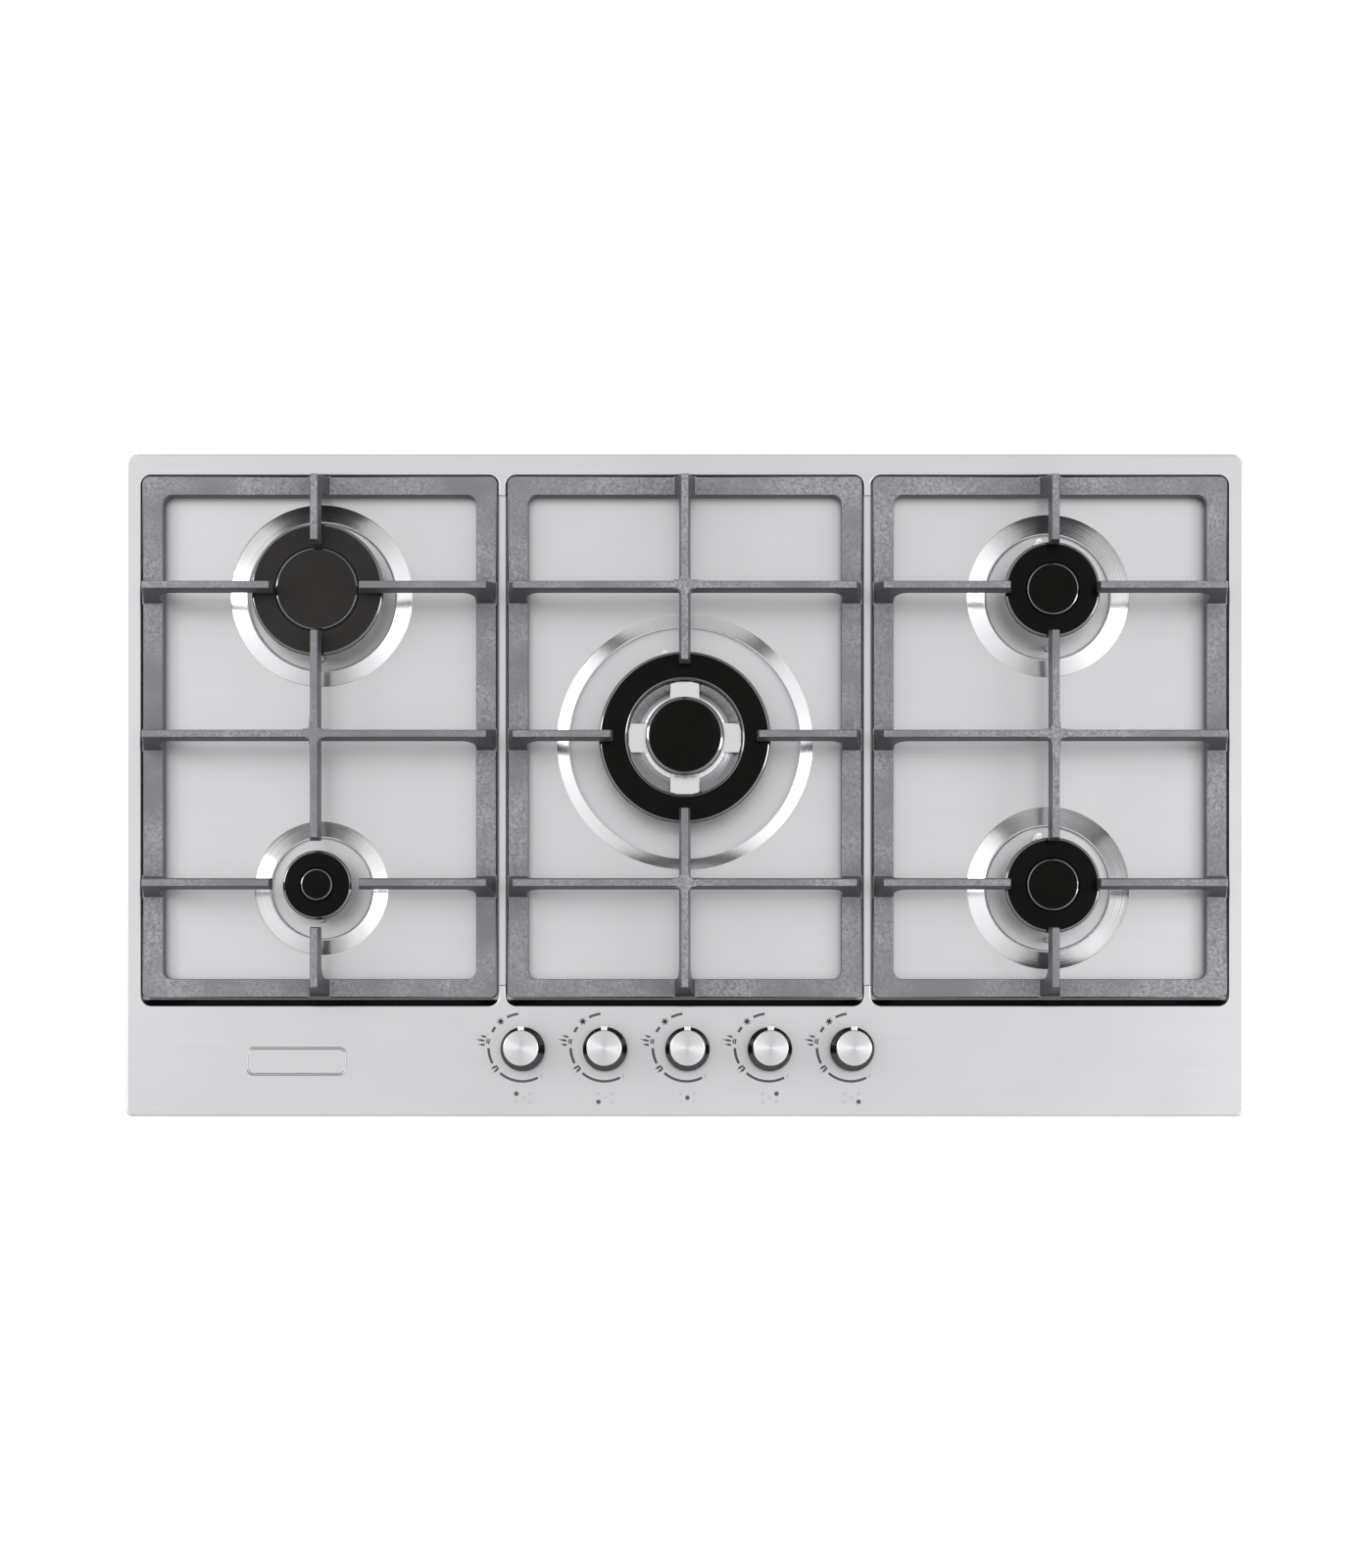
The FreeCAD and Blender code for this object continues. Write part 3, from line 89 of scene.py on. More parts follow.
def newMaterial(name, color, metallic, roughness):
    material = bpy.data.materials.new(name)
    material.use_nodes = True
    tree = material.node_tree
    shader = tree.nodes["Principled BSDF"]
    shader.inputs["Base Color"].default_value = hexColor(color)
    shader.inputs["Metallic"].default_value = metallic
    shader.inputs["Roughness"].default_value = roughness
    return material, tree, shader


def brushedStainless():
    # stainless sheet, satin-brushed left to right; the pressed burner rings are spun brighter
    material, tree, shader = newMaterial("brushedStainless", "#C9C9CB", 1.0, 0.38)
    gloss = {"sheet": 0.36, "ring": 0.16, "uneven": 0.10}
    coords = addNode(tree, "TexCoord").outputs["Object"]
    grain = addNode(tree, "Mapping", {"Vector": coords, "Scale": (9, 520, 520)})    # lines 2 mm apart
    lines = addNode(tree, "TexNoise", {"Vector": grain.outputs[0], "Scale": 1.0, "Detail": 3.0})
    cloud = addNode(tree, "TexNoise", {"Vector": coords, "Scale": 11.0, "Detail": 4.0})    # 90 mm haze
    onRing, nearest, relief = 0.0, 1.0, 0.0
    for name, centre in burners.items():
        dish = dishes[name]
        inner, outer, wide = dish["inner"], dish["outer"], dish["outer"] - dish["inner"]
        away = addNode(tree, "VectorMath", {0: coords, 1: (centre.x, centre.y, 0)}, operation="SUBTRACT")
        flat = addNode(tree, "VectorMath", {0: away.outputs[0], 1: (1, 1, 0)}, operation="MULTIPLY")
        reach = addNode(tree, "VectorMath", {0: flat.outputs[0]}, operation="LENGTH").outputs["Value"]
        inRing = addNode(tree, "Math", {0: reach, 1: (inner + outer) / 2, 2: wide / 2}, operation="COMPARE")
        onRing = addNode(tree, "Math", {0: onRing, 1: inRing.outputs[0]}, operation="ADD").outputs[0]
        nearest = addNode(tree, "Math", {0: nearest, 1: reach}, operation="MINIMUM").outputs[0]
        bead = addNode(tree, "MapRange", {"Value": reach, "From Min": inner, "From Max": outer,
                                          "To Min": 0.0, "To Max": -dish["rolled"] * wide})
        relief = addNode(tree, "Math", {0: relief, 1: bead.outputs[0]}, operation="ADD").outputs[0]
    spun = addNode(tree, "TexNoise", {"W": nearest, "Scale": 900.0, "Detail": 2.0},
                   noise_dimensions="1D")                                           # 1 mm tool marks
    finish = addNode(tree, "Mix", {0: onRing, 2: lines.outputs[0], 3: spun.outputs[0]}, data_type="FLOAT")
    rough = addNode(tree, "Mix", {0: onRing, 2: gloss["sheet"], 3: gloss["ring"]}, data_type="FLOAT")
    varied = addNode(tree, "Math", {0: finish.outputs[0], 1: gloss["uneven"], 2: rough.outputs[0]},
                     operation="MULTIPLY_ADD")
    tree.links.new(varied.outputs[0], shader.inputs["Roughness"])
    tone = addNode(tree, "Mix", {0: cloud.outputs[0], 6: hexColor("#C2C2C4"), 7: hexColor("#CECED0")},
                   data_type="RGBA")
    tree.links.new(tone.outputs[2], shader.inputs["Base Color"])
    rolled = addNode(tree, "Bump", {"Strength": 1.0, "Distance": 1.0, "Height": relief})
    bump = addNode(tree, "Bump", {"Strength": 0.12, "Distance": 0.0002, "Height": finish.outputs[0],
                                  "Normal": rolled.outputs[0]})
    tree.links.new(bump.outputs[0], shader.inputs["Normal"])
    return material


def enamelledIron():
    # cast iron under matt vitreous enamel: fine orange-peel grain, greyer where it has been fired thin;
    # steep sides painted darker than the tops as painted shade
    material, tree, shader = newMaterial("enamelledIron", "#6E6E73", 0.0, 0.46)
    place = addNode(tree, "TexCoord")
    coords = place.outputs["Object"]
    peel = addNode(tree, "TexNoise", {"Vector": coords, "Scale": 520.0, "Detail": 5.0})   # 2 mm grain
    patch = addNode(tree, "TexNoise", {"Vector": coords, "Scale": 16.0, "Detail": 3.0})   # 60 mm patches
    grain = addNode(tree, "MapRange", {"Value": peel.outputs[0], "From Min": 0.28, "From Max": 0.72})
    fine = addNode(tree, "Mix", {0: grain.outputs[0], 6: hexColor("#58585C"), 7: hexColor("#909095")},
                   data_type="RGBA")
    worn = addNode(tree, "MapRange", {"Value": patch.outputs[0], "From Min": 0.36, "From Max": 0.62})
    tops = addNode(tree, "Mix", {0: worn.outputs[0], 6: hexColor("#626267"), 7: fine.outputs[2]},
                   data_type="RGBA")
    lean = addNode(tree, "SeparateXYZ", {0: place.outputs["Normal"]})       # painted shade: faces leaning away from upright are painted darker, the tops paler
    litTopShare = addNode(tree, "MapRange", {"Value": lean.outputs["Z"], "From Min": 0.55, "From Max": 0.95})
    # painted shade: #343438 is the colour of the shaded sides
    tone = addNode(tree, "Mix", {0: litTopShare.outputs[0], 6: hexColor("#343438"), 7: tops.outputs[2]},
                   data_type="RGBA")
    tree.links.new(tone.outputs[2], shader.inputs["Base Color"])
    shader.inputs["Specular IOR Level"].default_value = 0.6
    bump = addNode(tree, "Bump", {"Strength": 0.5, "Distance": 0.0004, "Height": peel.outputs[0]})
    tree.links.new(bump.outputs[0], shader.inputs["Normal"])
    return material


def capEnamel():
    # black vitreous enamel on pressed steel: near-black, smooth, soft highlights
    material, tree, shader = newMaterial("capEnamel", "#0E0D0C", 0.0, 0.2)
    coords = addNode(tree, "TexCoord").outputs["Object"]
    haze = addNode(tree, "TexNoise", {"Vector": coords, "Scale": 70.0, "Detail": 4.0})
    rough = addNode(tree, "MapRange", {"Value": haze.outputs[0], "To Min": 0.16, "To Max": 0.3})
    tree.links.new(rough.outputs[0], shader.inputs["Roughness"])
    tone = addNode(tree, "Mix", {0: haze.outputs[0], 6: hexColor("#070706"), 7: hexColor("#0E0D0B")},
                   data_type="RGBA")
    tree.links.new(tone.outputs[2], shader.inputs["Base Color"])
    shader.inputs["Specular IOR Level"].default_value = 0.06
    return material


def glintBoostedEnamel():
    # painted highlight: the cap enamel made more reflective on the caps' leaning edges, so that they catch
    # sharp glints
    material, tree, shader = newMaterial("glintBoostedEnamel", "#0B0A0A", 0.0, 0.1)
    shader.inputs["IOR"].default_value = 1.75
    coords = addNode(tree, "TexCoord").outputs["Object"]
    haze = addNode(tree, "TexNoise", {"Vector": coords, "Scale": 160.0, "Detail": 3.0})
    rough = addNode(tree, "MapRange", {"Value": haze.outputs[0], "To Min": 0.06, "To Max": 0.16})
    tree.links.new(rough.outputs[0], shader.inputs["Roughness"])
    shader.inputs["Specular IOR Level"].default_value = 1.0
    return material


def satinCap():
    # black enamel fired to a satin, a little brown where it is thin: broad soft highlights
    material, tree, shader = newMaterial("satinCapEnamel", "#1B1918", 0.0, 0.42)
    coords = addNode(tree, "TexCoord").outputs["Object"]
    haze = addNode(tree, "TexNoise", {"Vector": coords, "Scale": 45.0, "Detail": 5.0})
    tone = addNode(tree, "Mix", {0: haze.outputs[0], 6: hexColor("#171615"), 7: hexColor("#23201E")},
                   data_type="RGBA")
    tree.links.new(tone.outputs[2], shader.inputs["Base Color"])
    rough = addNode(tree, "MapRange", {"Value": haze.outputs[0], "To Min": 0.34, "To Max": 0.5})
    tree.links.new(rough.outputs[0], shader.inputs["Roughness"])
    shader.inputs["Specular IOR Level"].default_value = 0.2
    return material


def castAluminium():
    # die-cast aluminium, turned bright on its crowns
    material, tree, shader = newMaterial("castAluminium", "#D6D6D8", 1.0, 0.3)
    coords = addNode(tree, "TexCoord").outputs["Object"]
    grit = addNode(tree, "TexNoise", {"Vector": coords, "Scale": 900.0, "Detail": 3.0})
    rough = addNode(tree, "MapRange", {"Value": grit.outputs[0], "To Min": 0.24, "To Max": 0.4})
    tree.links.new(rough.outputs[0], shader.inputs["Roughness"])
    bump = addNode(tree, "Bump", {"Strength": 0.15, "Distance": 0.0002, "Height": grit.outputs[0]})
    tree.links.new(bump.outputs[0], shader.inputs["Normal"])
    return material


def spunKnob(name, centre):
    # solid aluminium, its face spun to fine rings, so that light fans out from the centre
    material, tree, shader = newMaterial("spunAluminium_" + name, "#CFCFD1", 1.0, 0.36)
    coords = addNode(tree, "TexCoord").outputs["Object"]
    away = addNode(tree, "VectorMath", {0: coords, 1: (centre.x, centre.y, 0)}, operation="SUBTRACT")
    flat = addNode(tree, "VectorMath", {0: away.outputs[0], 1: (1, 1, 0)}, operation="MULTIPLY")
    reach = addNode(tree, "VectorMath", {0: flat.outputs[0]}, operation="LENGTH")
    rings = addNode(tree, "TexNoise", {"W": reach.outputs["Value"], "Scale": 2500.0, "Detail": 2.0},
                    noise_dimensions="1D")                                          # 0.4 mm tool marks
    world = addNode(tree, "VectorTransform", {"Vector": flat.outputs[0]}, vector_type="VECTOR",
                    convert_from="OBJECT", convert_to="WORLD")
    tree.links.new(world.outputs[0], shader.inputs["Tangent"])
    shader.inputs["Anisotropic"].default_value = 0.85
    bump = addNode(tree, "Bump", {"Strength": 0.1, "Distance": 0.0001, "Height": rings.outputs[0]})
    tree.links.new(bump.outputs[0], shader.inputs["Normal"])
    return material


def plainFinish(name, dark, light, metallic, roughness, grain, depth):
    # a small or hidden part: its two tones, its gloss, a grain in mm and how deep the grain is in metres
    material, tree, shader = newMaterial(name, dark, metallic, roughness)
    coords = addNode(tree, "TexCoord").outputs["Object"]
    noise = addNode(tree, "TexNoise", {"Vector": coords, "Scale": 1000.0 / grain, "Detail": 4.0})
    tone = addNode(tree, "Mix", {0: noise.outputs[0], 6: hexColor(dark), 7: hexColor(light)},
                   data_type="RGBA")
    tree.links.new(tone.outputs[2], shader.inputs["Base Color"])
    spread = addNode(tree, "MapRange", {"Value": noise.outputs[0], "To Min": roughness - 0.06,
                                        "To Max": roughness + 0.08})
    tree.links.new(spread.outputs[0], shader.inputs["Roughness"])
    bump = addNode(tree, "Bump", {"Strength": 0.3, "Distance": depth, "Height": noise.outputs[0]})
    tree.links.new(bump.outputs[0], shader.inputs["Normal"])
    return material


finishes = {
    "stainless": brushedStainless(),
    "iron": enamelledIron(),
    "cap": capEnamel(),
    "head": castAluminium(),
    # painted shade: darker grey for the sloping faces of the centre crown
    "crown": plainFinish("slopeShadeAluminium", "#77777A", "#8C8C8F", 1.0, 0.36, 2, 0.00004),
    # painted shade: glossy black for the wells' shaded front walls
    "wellShade": plainFinish("glossBlackPaintedShade", "#040404", "#080808", 0.0, 0.22, 4, 0.00002),
    # painted reflection: the barrel's aluminium painted dark so it reads as reflecting dark surroundings
    "barrel": plainFinish("barrelPaintedDark", "#4A4A4C", "#565659", 1.0, 0.14, 3, 0.00002),
    "pointer": plainFinish("milledPointer", "#E2E2E4", "#EDEDEF", 1.0, 0.34, 1, 0.00004),
    "ink": plainFinish("bakedPrint", "#3C3C3F", "#4C4C50", 0.0, 0.5, 0.6, 0.00001),
    "paleInk": plainFinish("bakedPrintPale", "#A3A3A6", "#AEAEB1", 0.0, 0.5, 0.6, 0.00001),
    "satinCap": satinCap(),
    "capGlint": glintBoostedEnamel(),
    "valve": plainFinish("dieCastAluminium", "#A9A9AC", "#B9B9BC", 1.0, 0.42, 2, 0.0001),
    "galvanised": plainFinish("galvanisedSheet", "#9A9C9E", "#B4B6B8", 1.0, 0.42, 14, 0.0001),
    "foam": plainFinish("closedCellFoam", "#17171A", "#242427", 0.0, 0.85, 1.2, 0.0003),
    "zinc": plainFinish("zincPlatedSteel", "#A8A8A0", "#BDBDB6", 1.0, 0.34, 5, 0.00005),
    "brass": plainFinish("machinedBrass", "#B8934A", "#C9A65C", 1.0, 0.28, 2, 0.00005),
    "ceramic": plainFinish("glazedCeramic", "#E4E2DC", "#EFEDE8", 0.0, 0.18, 8, 0.00003),
    "pin": plainFinish("brightSteelPin", "#A5A5A5", "#B8B8B8", 1.0, 0.25, 2, 0.00003),
    "tube": plainFinish("drawnAluminiumTube", "#B5B5B8", "#C6C6C9", 1.0, 0.36, 6, 0.00005),
    "module": plainFinish("mouldedWhitePlastic", "#DDDDD8", "#E6E6E2", 0.0, 0.5, 1.5, 0.0001),
    "nylon": plainFinish("mouldedBlackNylon", "#141416", "#1E1E20", 0.0, 0.5, 1.2, 0.0001),
}
print("materials made")


def paint(name, material):
    obj = nodes[name]
    obj.data.materials.clear()
    obj.data.materials.append(material)


nodeFinishes = {
    "top_plate": "stainless", "worktop_seal": "foam", "bottom_tray": "galvanised", "gas_rail": "zinc",
    "pan_support_left": "iron", "pan_support_middle": "iron", "pan_support_right": "iron", "ring_cap": "cap",
    "burner_cap": "cap", "burner_head": "head", "burner_cup": "tube", "cable_gland": "nylon",
    "spark_module": "module", "spark_plug": "ceramic", "flame_probe": "pin", "gas_valve": "valve",
    "valve_plug": "brass", "spindle": "pin", "feed_tube": "tube",
}
for name in nodes:
    stem = name
    for place in places:
        stem = stem.replace("_" + place, "")
    if stem in nodeFinishes:                                         # knobs get their own materials below
        paint(name, finishes[nodeFinishes[stem]])


# ---- pieces ----
def finishPiece(name, work, materials, body, sharp=30.0):
    # a bmesh becomes an object that rides on its body, smooth between its sharp edges
    mesh = bpy.data.meshes.new(name)
    work.to_mesh(mesh)
    work.free()
    mesh.shade_smooth()
    mesh.set_sharp_from_angle(angle=math.radians(sharp))
    for material in materials:
        mesh.materials.append(material)
    piece = bpy.data.objects.new(name, mesh)
    bpy.context.scene.collection.objects.link(piece)
    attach(piece, body)
    weighted = piece.modifiers.new("flatFacesStayFlat", "WEIGHTED_NORMAL")
    weighted.keep_sharp = True
    return piece


def joinedCopy(node):
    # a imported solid's loose triangles, merged
    work = bmesh.new()
    work.from_mesh(nodes[node].data)
    bmesh.ops.remove_doubles(work, verts=work.verts, dist=0.00001)
    return work


def roundEdges(work, width, segments, angle, chosen=None):
    # rounds every edge folded past an angle in degrees, or those of them that pass a test
    edges = [edge for edge in work.edges
             if edge.calc_face_angle(0) > math.radians(angle) and (chosen is None or chosen(edge))]
    bmesh.ops.bevel(work, geom=edges, offset=width, offset_type="OFFSET", segments=segments, profile=0.5,
                    affect="EDGES", clamp_overlap=False, material=-1)


def turnedPiece(profile, centre, steps=160):
    # a half section of (radius, height) points in mm spun once round an upright axis
    work = bmesh.new()
    points = [work.verts.new((centre.x + radius / 1000, centre.y, height / 1000))
              for radius, height in profile]
    closed = points[:1] if profile[0][0] > 0 else []                 # from axis to axis it stays open
    edges = [work.edges.new(pair) for pair in zip(points, points[1:] + closed)]
    bmesh.ops.spin(work, geom=points + edges, cent=(centre.x, centre.y, 0), axis=(0, 0, 1),
                   angle=math.tau, steps=steps, use_merge=True)
    bmesh.ops.remove_doubles(work, verts=work.verts, dist=0.000002)
    bmesh.ops.recalc_face_normals(work, faces=work.faces)
    return work


def awayFrom(point, centre):
    return math.hypot(point.x - centre.x, point.y - centre.y)


# pan supports: fused castings, every edge softened by the mould and the enamel
support = {"edge": 0.0009, "segments": 3, "fold": 30}
for side in ("left", "middle", "right"):
    node = "pan_support_" + side
    work = joinedCopy(node)
    roundEdges(work, support["edge"], support["segments"], support["fold"])
    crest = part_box(node)[1].z
    for vert in work.verts:                                          # no corner stands above the bars
        vert.co.z = min(vert.co.z, crest)
    casting = finishPiece("panSupportCasting_" + side, work, [finishes["iron"]], "support_" + side)
    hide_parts(node)
print("pan supports cast")

# top plate: pressed edges of the wells, lands and dishes rolled over
pressing = {"roll": 0.0006, "segments": 2, "fold": 11, "lowest": 0.0499, "shortest": 0.0005}
middleDish = {"floor": 0.051, "foot": 0.0008, "lift": 0.0034, "near": 0.0003}    # shallow ring, short step
frontWall = {"behind": -0.15, "under": 0.0065, "over": 0.0001, "level": 0.9, "upright": 0.1,
             "rearward": 0.25}
work = joinedCopy("top_plate")
ledge = dishes["centre"]["inner"]


def onDishFloor(vert):
    return abs(vert.co.z - middleDish["floor"]) < slack["level"]


def isPressedEdge(edge):
    # level, above the underside and no sliver
    level = edge.verts[0].co.z
    return edge.calc_length() > pressing["shortest"] and all(
        abs(vert.co.z - level) < slack["level"] and vert.co.z > pressing["lowest"] for vert in edge.verts)


dishFloor = [face for face in work.faces if all(
    onDishFloor(vert) and awayFrom(vert.co, burners["centre"]) < ledge + slack["circle"]
    for vert in face.verts)]
bmesh.ops.inset_region(work, faces=dishFloor, thickness=middleDish["foot"], use_even_offset=True,
                       use_boundary=True)
for vert in work.verts:
    if onDishFloor(vert) and abs(awayFrom(vert.co, burners["centre"]) - ledge) < middleDish["near"]:
        vert.co.z += middleDish["lift"]
roundEdges(work, pressing["roll"], pressing["segments"], pressing["fold"], isPressedEdge)
for face in work.faces:                                              # painted shade: the wells' front walls, a gap in shade under the supports, are painted glossy black
    middle = face.calc_center_median()
    toRear = face.normal.y > frontWall["rearward"] and middle.y < frontWall["behind"]
    sloped = frontWall["upright"] < face.normal.z < frontWall["level"]
    inWall = plate["floor"] - frontWall["under"] < middle.z < plate["top"] + frontWall["over"]
    if toRear and sloped and inWall:
        face.material_index = 1
pressed = finishPiece("pressedPlate", work, [finishes["stainless"], finishes["wellShade"]], "hob",
                      pressing["fold"])
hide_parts("top_plate")
print("plate pressed")

# caps: pressed steel, the centre disc stands in a narrow groove; radii in mm
capSizes = {
    "rear_left": {"radius": 50.5, "disc": 31.5, "key": 36.5, "rise": 1.2, "lip": 0.0, "finish": "satinCap"},
    "front_left": {"radius": 26.5, "disc": 12.4, "key": 13.0, "rise": 2.4, "lip": 0.8, "finish": "cap"},
    "centre": {"radius": 30.0, "disc": 24.0, "key": 23.5, "rise": 1.2, "lip": 0.0, "finish": "cap"},
    "rear_right": {"radius": 36.5, "disc": 20.0, "key": 23.0, "rise": 1.2, "lip": 0.0, "finish": "cap"},
    "front_right": {"radius": 36.5, "disc": 20.0, "key": 23.0, "rise": 1.2, "lip": 0.0, "finish": "cap"},
}
capShape = {"thick": 5.0, "keyDrop": 1.5, "keyWall": 2.0, "groove": 0.7, "grooveWide": 0.6}
# faces leaning past the edge angle get the glint enamel, a painted highlight
capLean = {"edge": 17, "steep": 30, "sharp": 38}                     # degrees
grooveReach = 1.5                                                    # mm outside the disc


def roundedOver(radius, bottom, top):
    # the outer edge of a cap, rolled from its underside to its rim
    return [(radius - 0.8, bottom), (radius - 0.25, bottom + 0.25), (radius, bottom + 0.8),
            (radius, bottom + 2.2), (radius - 0.3, bottom + 3.1), (radius - 1.0, top - 1.15),
            (radius - 2.0, top - 0.8)]


def capPieceOf(name, work, flat, body, centre, dullReach=0.0):
    # painted highlight: leaning faces get the more reflective enamel so they catch glints; steep ones in the
    # groove round the disc keep the plain enamel
    for face in work.faces:
        lean = math.degrees(math.acos(min(1.0, abs(face.normal.z))))
        away = awayFrom(face.calc_center_median(), centre) * 1000
        inGroove = lean > capLean["steep"] and away < dullReach
        face.material_index = 1 if lean > capLean["edge"] and not inGroove else 0
    return finishPiece(name, work, [flat, finishes["capGlint"]], body, capLean["sharp"])


for name, sizes in capSizes.items():
    centre = burners[name]
    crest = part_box("burner_cap_" + name)[1].z * 1000
    top = crest - sizes["rise"]
    bottom = top - capShape["thick"]
    disc = sizes["disc"]
    key = sizes["key"]
    brim = top + sizes["lip"]                                        # the small cap is domed up to its disc
    groove = brim - capShape["groove"]
    keyInside = key - capShape["keyWall"]
    keyFoot = bottom - capShape["keyDrop"]
    outside = [(0, bottom), (keyInside, bottom), (keyInside, keyFoot), (key, keyFoot), (key, bottom)]
    outside += roundedOver(sizes["radius"], bottom, top)
    bank = disc + capShape["grooveWide"]
    profile = outside + [
        (bank + 1.5, brim - 0.1), (bank + 0.4, brim - 0.08), (bank, groove + 0.3),
        (bank - 0.2, groove), (disc + 0.1, groove), (disc, groove + 0.3), (disc - 0.2, crest - 0.85),
        (disc - 0.7, crest - 0.42), (disc - 1.5, crest - 0.13), (disc - 2.6, crest), (0, crest)]
    if name == "centre":                                             # the inner cap is one smooth low dome
        profile = outside + [
            (disc + 3.4, crest - 1.45), (disc + 1.6, crest - 0.95), (disc - 0.6, crest - 0.4),
            (disc - 3.0, crest - 0.08), (disc - 5.0, crest), (0, crest)]
    capPiece = capPieceOf("enamelledCap_" + name, turnedPiece(profile, centre), finishes[sizes["finish"]],
                          "cap_" + name, centre, disc + grooveReach)
    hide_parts("burner_cap_" + name)

ring = {"outer": 65.5, "inner": 43.8, "key": 51.0, "steps": 220}
low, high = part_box("ring_cap_centre")
top = high.z * 1000
bottom = top - capShape["thick"]
keyInside = ring["key"] - capShape["keyWall"]
keyFoot = low.z * 1000
profile = [(ring["inner"], bottom), (keyInside, bottom), (keyInside, keyFoot), (ring["key"], keyFoot),
           (ring["key"], bottom)]
profile += roundedOver(ring["outer"], bottom, top)
profile += [(ring["outer"] - 5, top - 0.1), (ring["inner"] + 3.4, top), (ring["inner"] + 1.6, top - 0.3),
            (ring["inner"] + 0.5, top - 0.9), (ring["inner"], top - 1.8)]
ringWork = turnedPiece(profile, burners["centre"], ring["steps"])
ringPiece = capPieceOf("enamelledRingCap", ringWork, finishes["cap"], "ring_cap_centre", burners["centre"])
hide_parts("ring_cap_centre")
print("caps turned")

# heads: die castings with the slots of their flame ports, edges broken
headShape = {"edge": 0.00025, "segments": 1, "fold": 40}
crown = {"radius": 0.0435, "valley": 0.0695, "lift": 0.0032, "steepest": 0.5, "flattest": 0.97}
for name in places:
    work = joinedCopy("burner_head_" + name)
    if name == "centre":
        for vert in work.verts:                                      # the crown slopes less than in the CAD
            away = awayFrom(vert.co, burners[name])
            if (abs(away - crown["radius"]) < slack["circle"]
                    and abs(vert.co.z - crown["valley"]) < slack["circle"]):
                vert.co.z += crown["lift"]
        for face in work.faces:                                      # and its sloping faces are painted a darker grey, a painted shade
            away = awayFrom(face.calc_center_median(), burners[name])
            if crown["steepest"] < face.normal.z < crown["flattest"] and away < crown["radius"]:
                face.material_index = 1
    roundEdges(work, headShape["edge"], headShape["segments"], headShape["fold"])
    headPiece = finishPiece("castHead_" + name, work, [finishes["head"], finishes["crown"]], "head_" + name)
    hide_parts("burner_head_" + name)
print("heads cast")

# knobs: face spun, barrel polished and painted dark as a painted reflection, pointer milled
knobShape = {"edge": 0.0003, "segments": 2, "fold": 30, "faceRadius": 0.0133, "faceDepth": 0.0009,
             "pointerHalf": 0.0021, "pointerFrom": 0.0117}
for name, centre in knobs.items():
    work = joinedCopy("knob_" + name)
    roundEdges(work, knobShape["edge"], knobShape["segments"], knobShape["fold"])
    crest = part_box("knob_" + name)[1].z
    for face in work.faces:
        middle = face.calc_center_median()
        across = middle.x - centre.x
        along = middle.y - centre.y
        onTop = middle.z > crest - knobShape["faceDepth"]
        if onTop and math.hypot(across, along) < knobShape["faceRadius"]:
            face.material_index = 0
        elif abs(across) < knobShape["pointerHalf"] and along > knobShape["pointerFrom"]:
            face.material_index = 2
        else:
            face.material_index = 1
    knobPiece = finishPiece("spunKnob_" + name, work,
                            [spunKnob(name, centre), finishes["barrel"], finishes["pointer"]],
                            "knob_" + name)
    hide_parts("knob_" + name)
print("knobs turned")

# print round the knobs: a scale from off to low with flame and spark signs, baked on; lengths in mm
scale = {"radius": 26.0, "line": 2.0, "shift": (-0.6, 1.6), "thick": 0.00004,
         "dashes": ((97, 117), (143, 153), (181, 208), (229, 297))}
spark = {"turn": 130, "length": 5.2, "line": 1.2}
flames = (
    {"turn": 170, "bars": ((26.0, 4.2), (27.6, 3.4)), "line": 1.1,
     "drops": ((-6, 30.6, 3.8), (0, 31.6, 5.2), (6, 30.6, 3.8)), "dropWide": 1.7},
    {"turn": 218, "bars": ((24.6, 3.8),), "line": 1.2,
     "drops": ((-3, 26.6, 3.4), (3, 26.6, 3.4)), "dropWide": 1.9},
)
endMark = {"turn": 303, "radius": 26.2, "heading": 80, "length": 3.4, "line": 1.3}


def atAngle(centre, turn, radius):
    # a point on the plate, at an angle in degrees and a distance in mm from a centre
    angle = math.radians(turn)
    return Vector((centre.x + radius / 1000 * math.cos(angle), centre.y + radius / 1000 * math.sin(angle),
                   plate["top"]))


def printBar(work, place, turn, length, width):
    # a straight stroke centred on a place, its length along a direction
    matrix = Matrix.Translation(place) @ Matrix.Rotation(math.radians(turn), 4, "Z") @ Matrix.Diagonal(
        (length / 1000, width / 1000, 1, 1))
    bmesh.ops.create_grid(work, x_segments=1, y_segments=1, size=0.5, matrix=matrix)


def printDrop(work, place, turn, length, width):
    # a flame: a round drop with one point drawn out
    matrix = Matrix.Translation(place) @ Matrix.Rotation(math.radians(turn), 4, "Z") @ Matrix.Diagonal(
        (length / 2000, width / 2000, 1, 1))
    made = bmesh.ops.create_circle(work, cap_ends=True, segments=12, radius=1.0, matrix=matrix)["verts"]
    heading = Vector((math.cos(math.radians(turn)), math.sin(math.radians(turn)), 0))
    tip = max(made, key=lambda vert: (vert.co - place).dot(heading))
    tip.co += heading * length / 2200


def thicken(work):
    # flat shapes become a layer of ink
    raised = bmesh.ops.extrude_face_region(work, geom=work.faces[:])["geom"]
    bmesh.ops.translate(work, verts=[item for item in raised if isinstance(item, bmesh.types.BMVert)],
                        vec=(0, 0, scale["thick"]))
    bmesh.ops.recalc_face_normals(work, faces=work.faces)


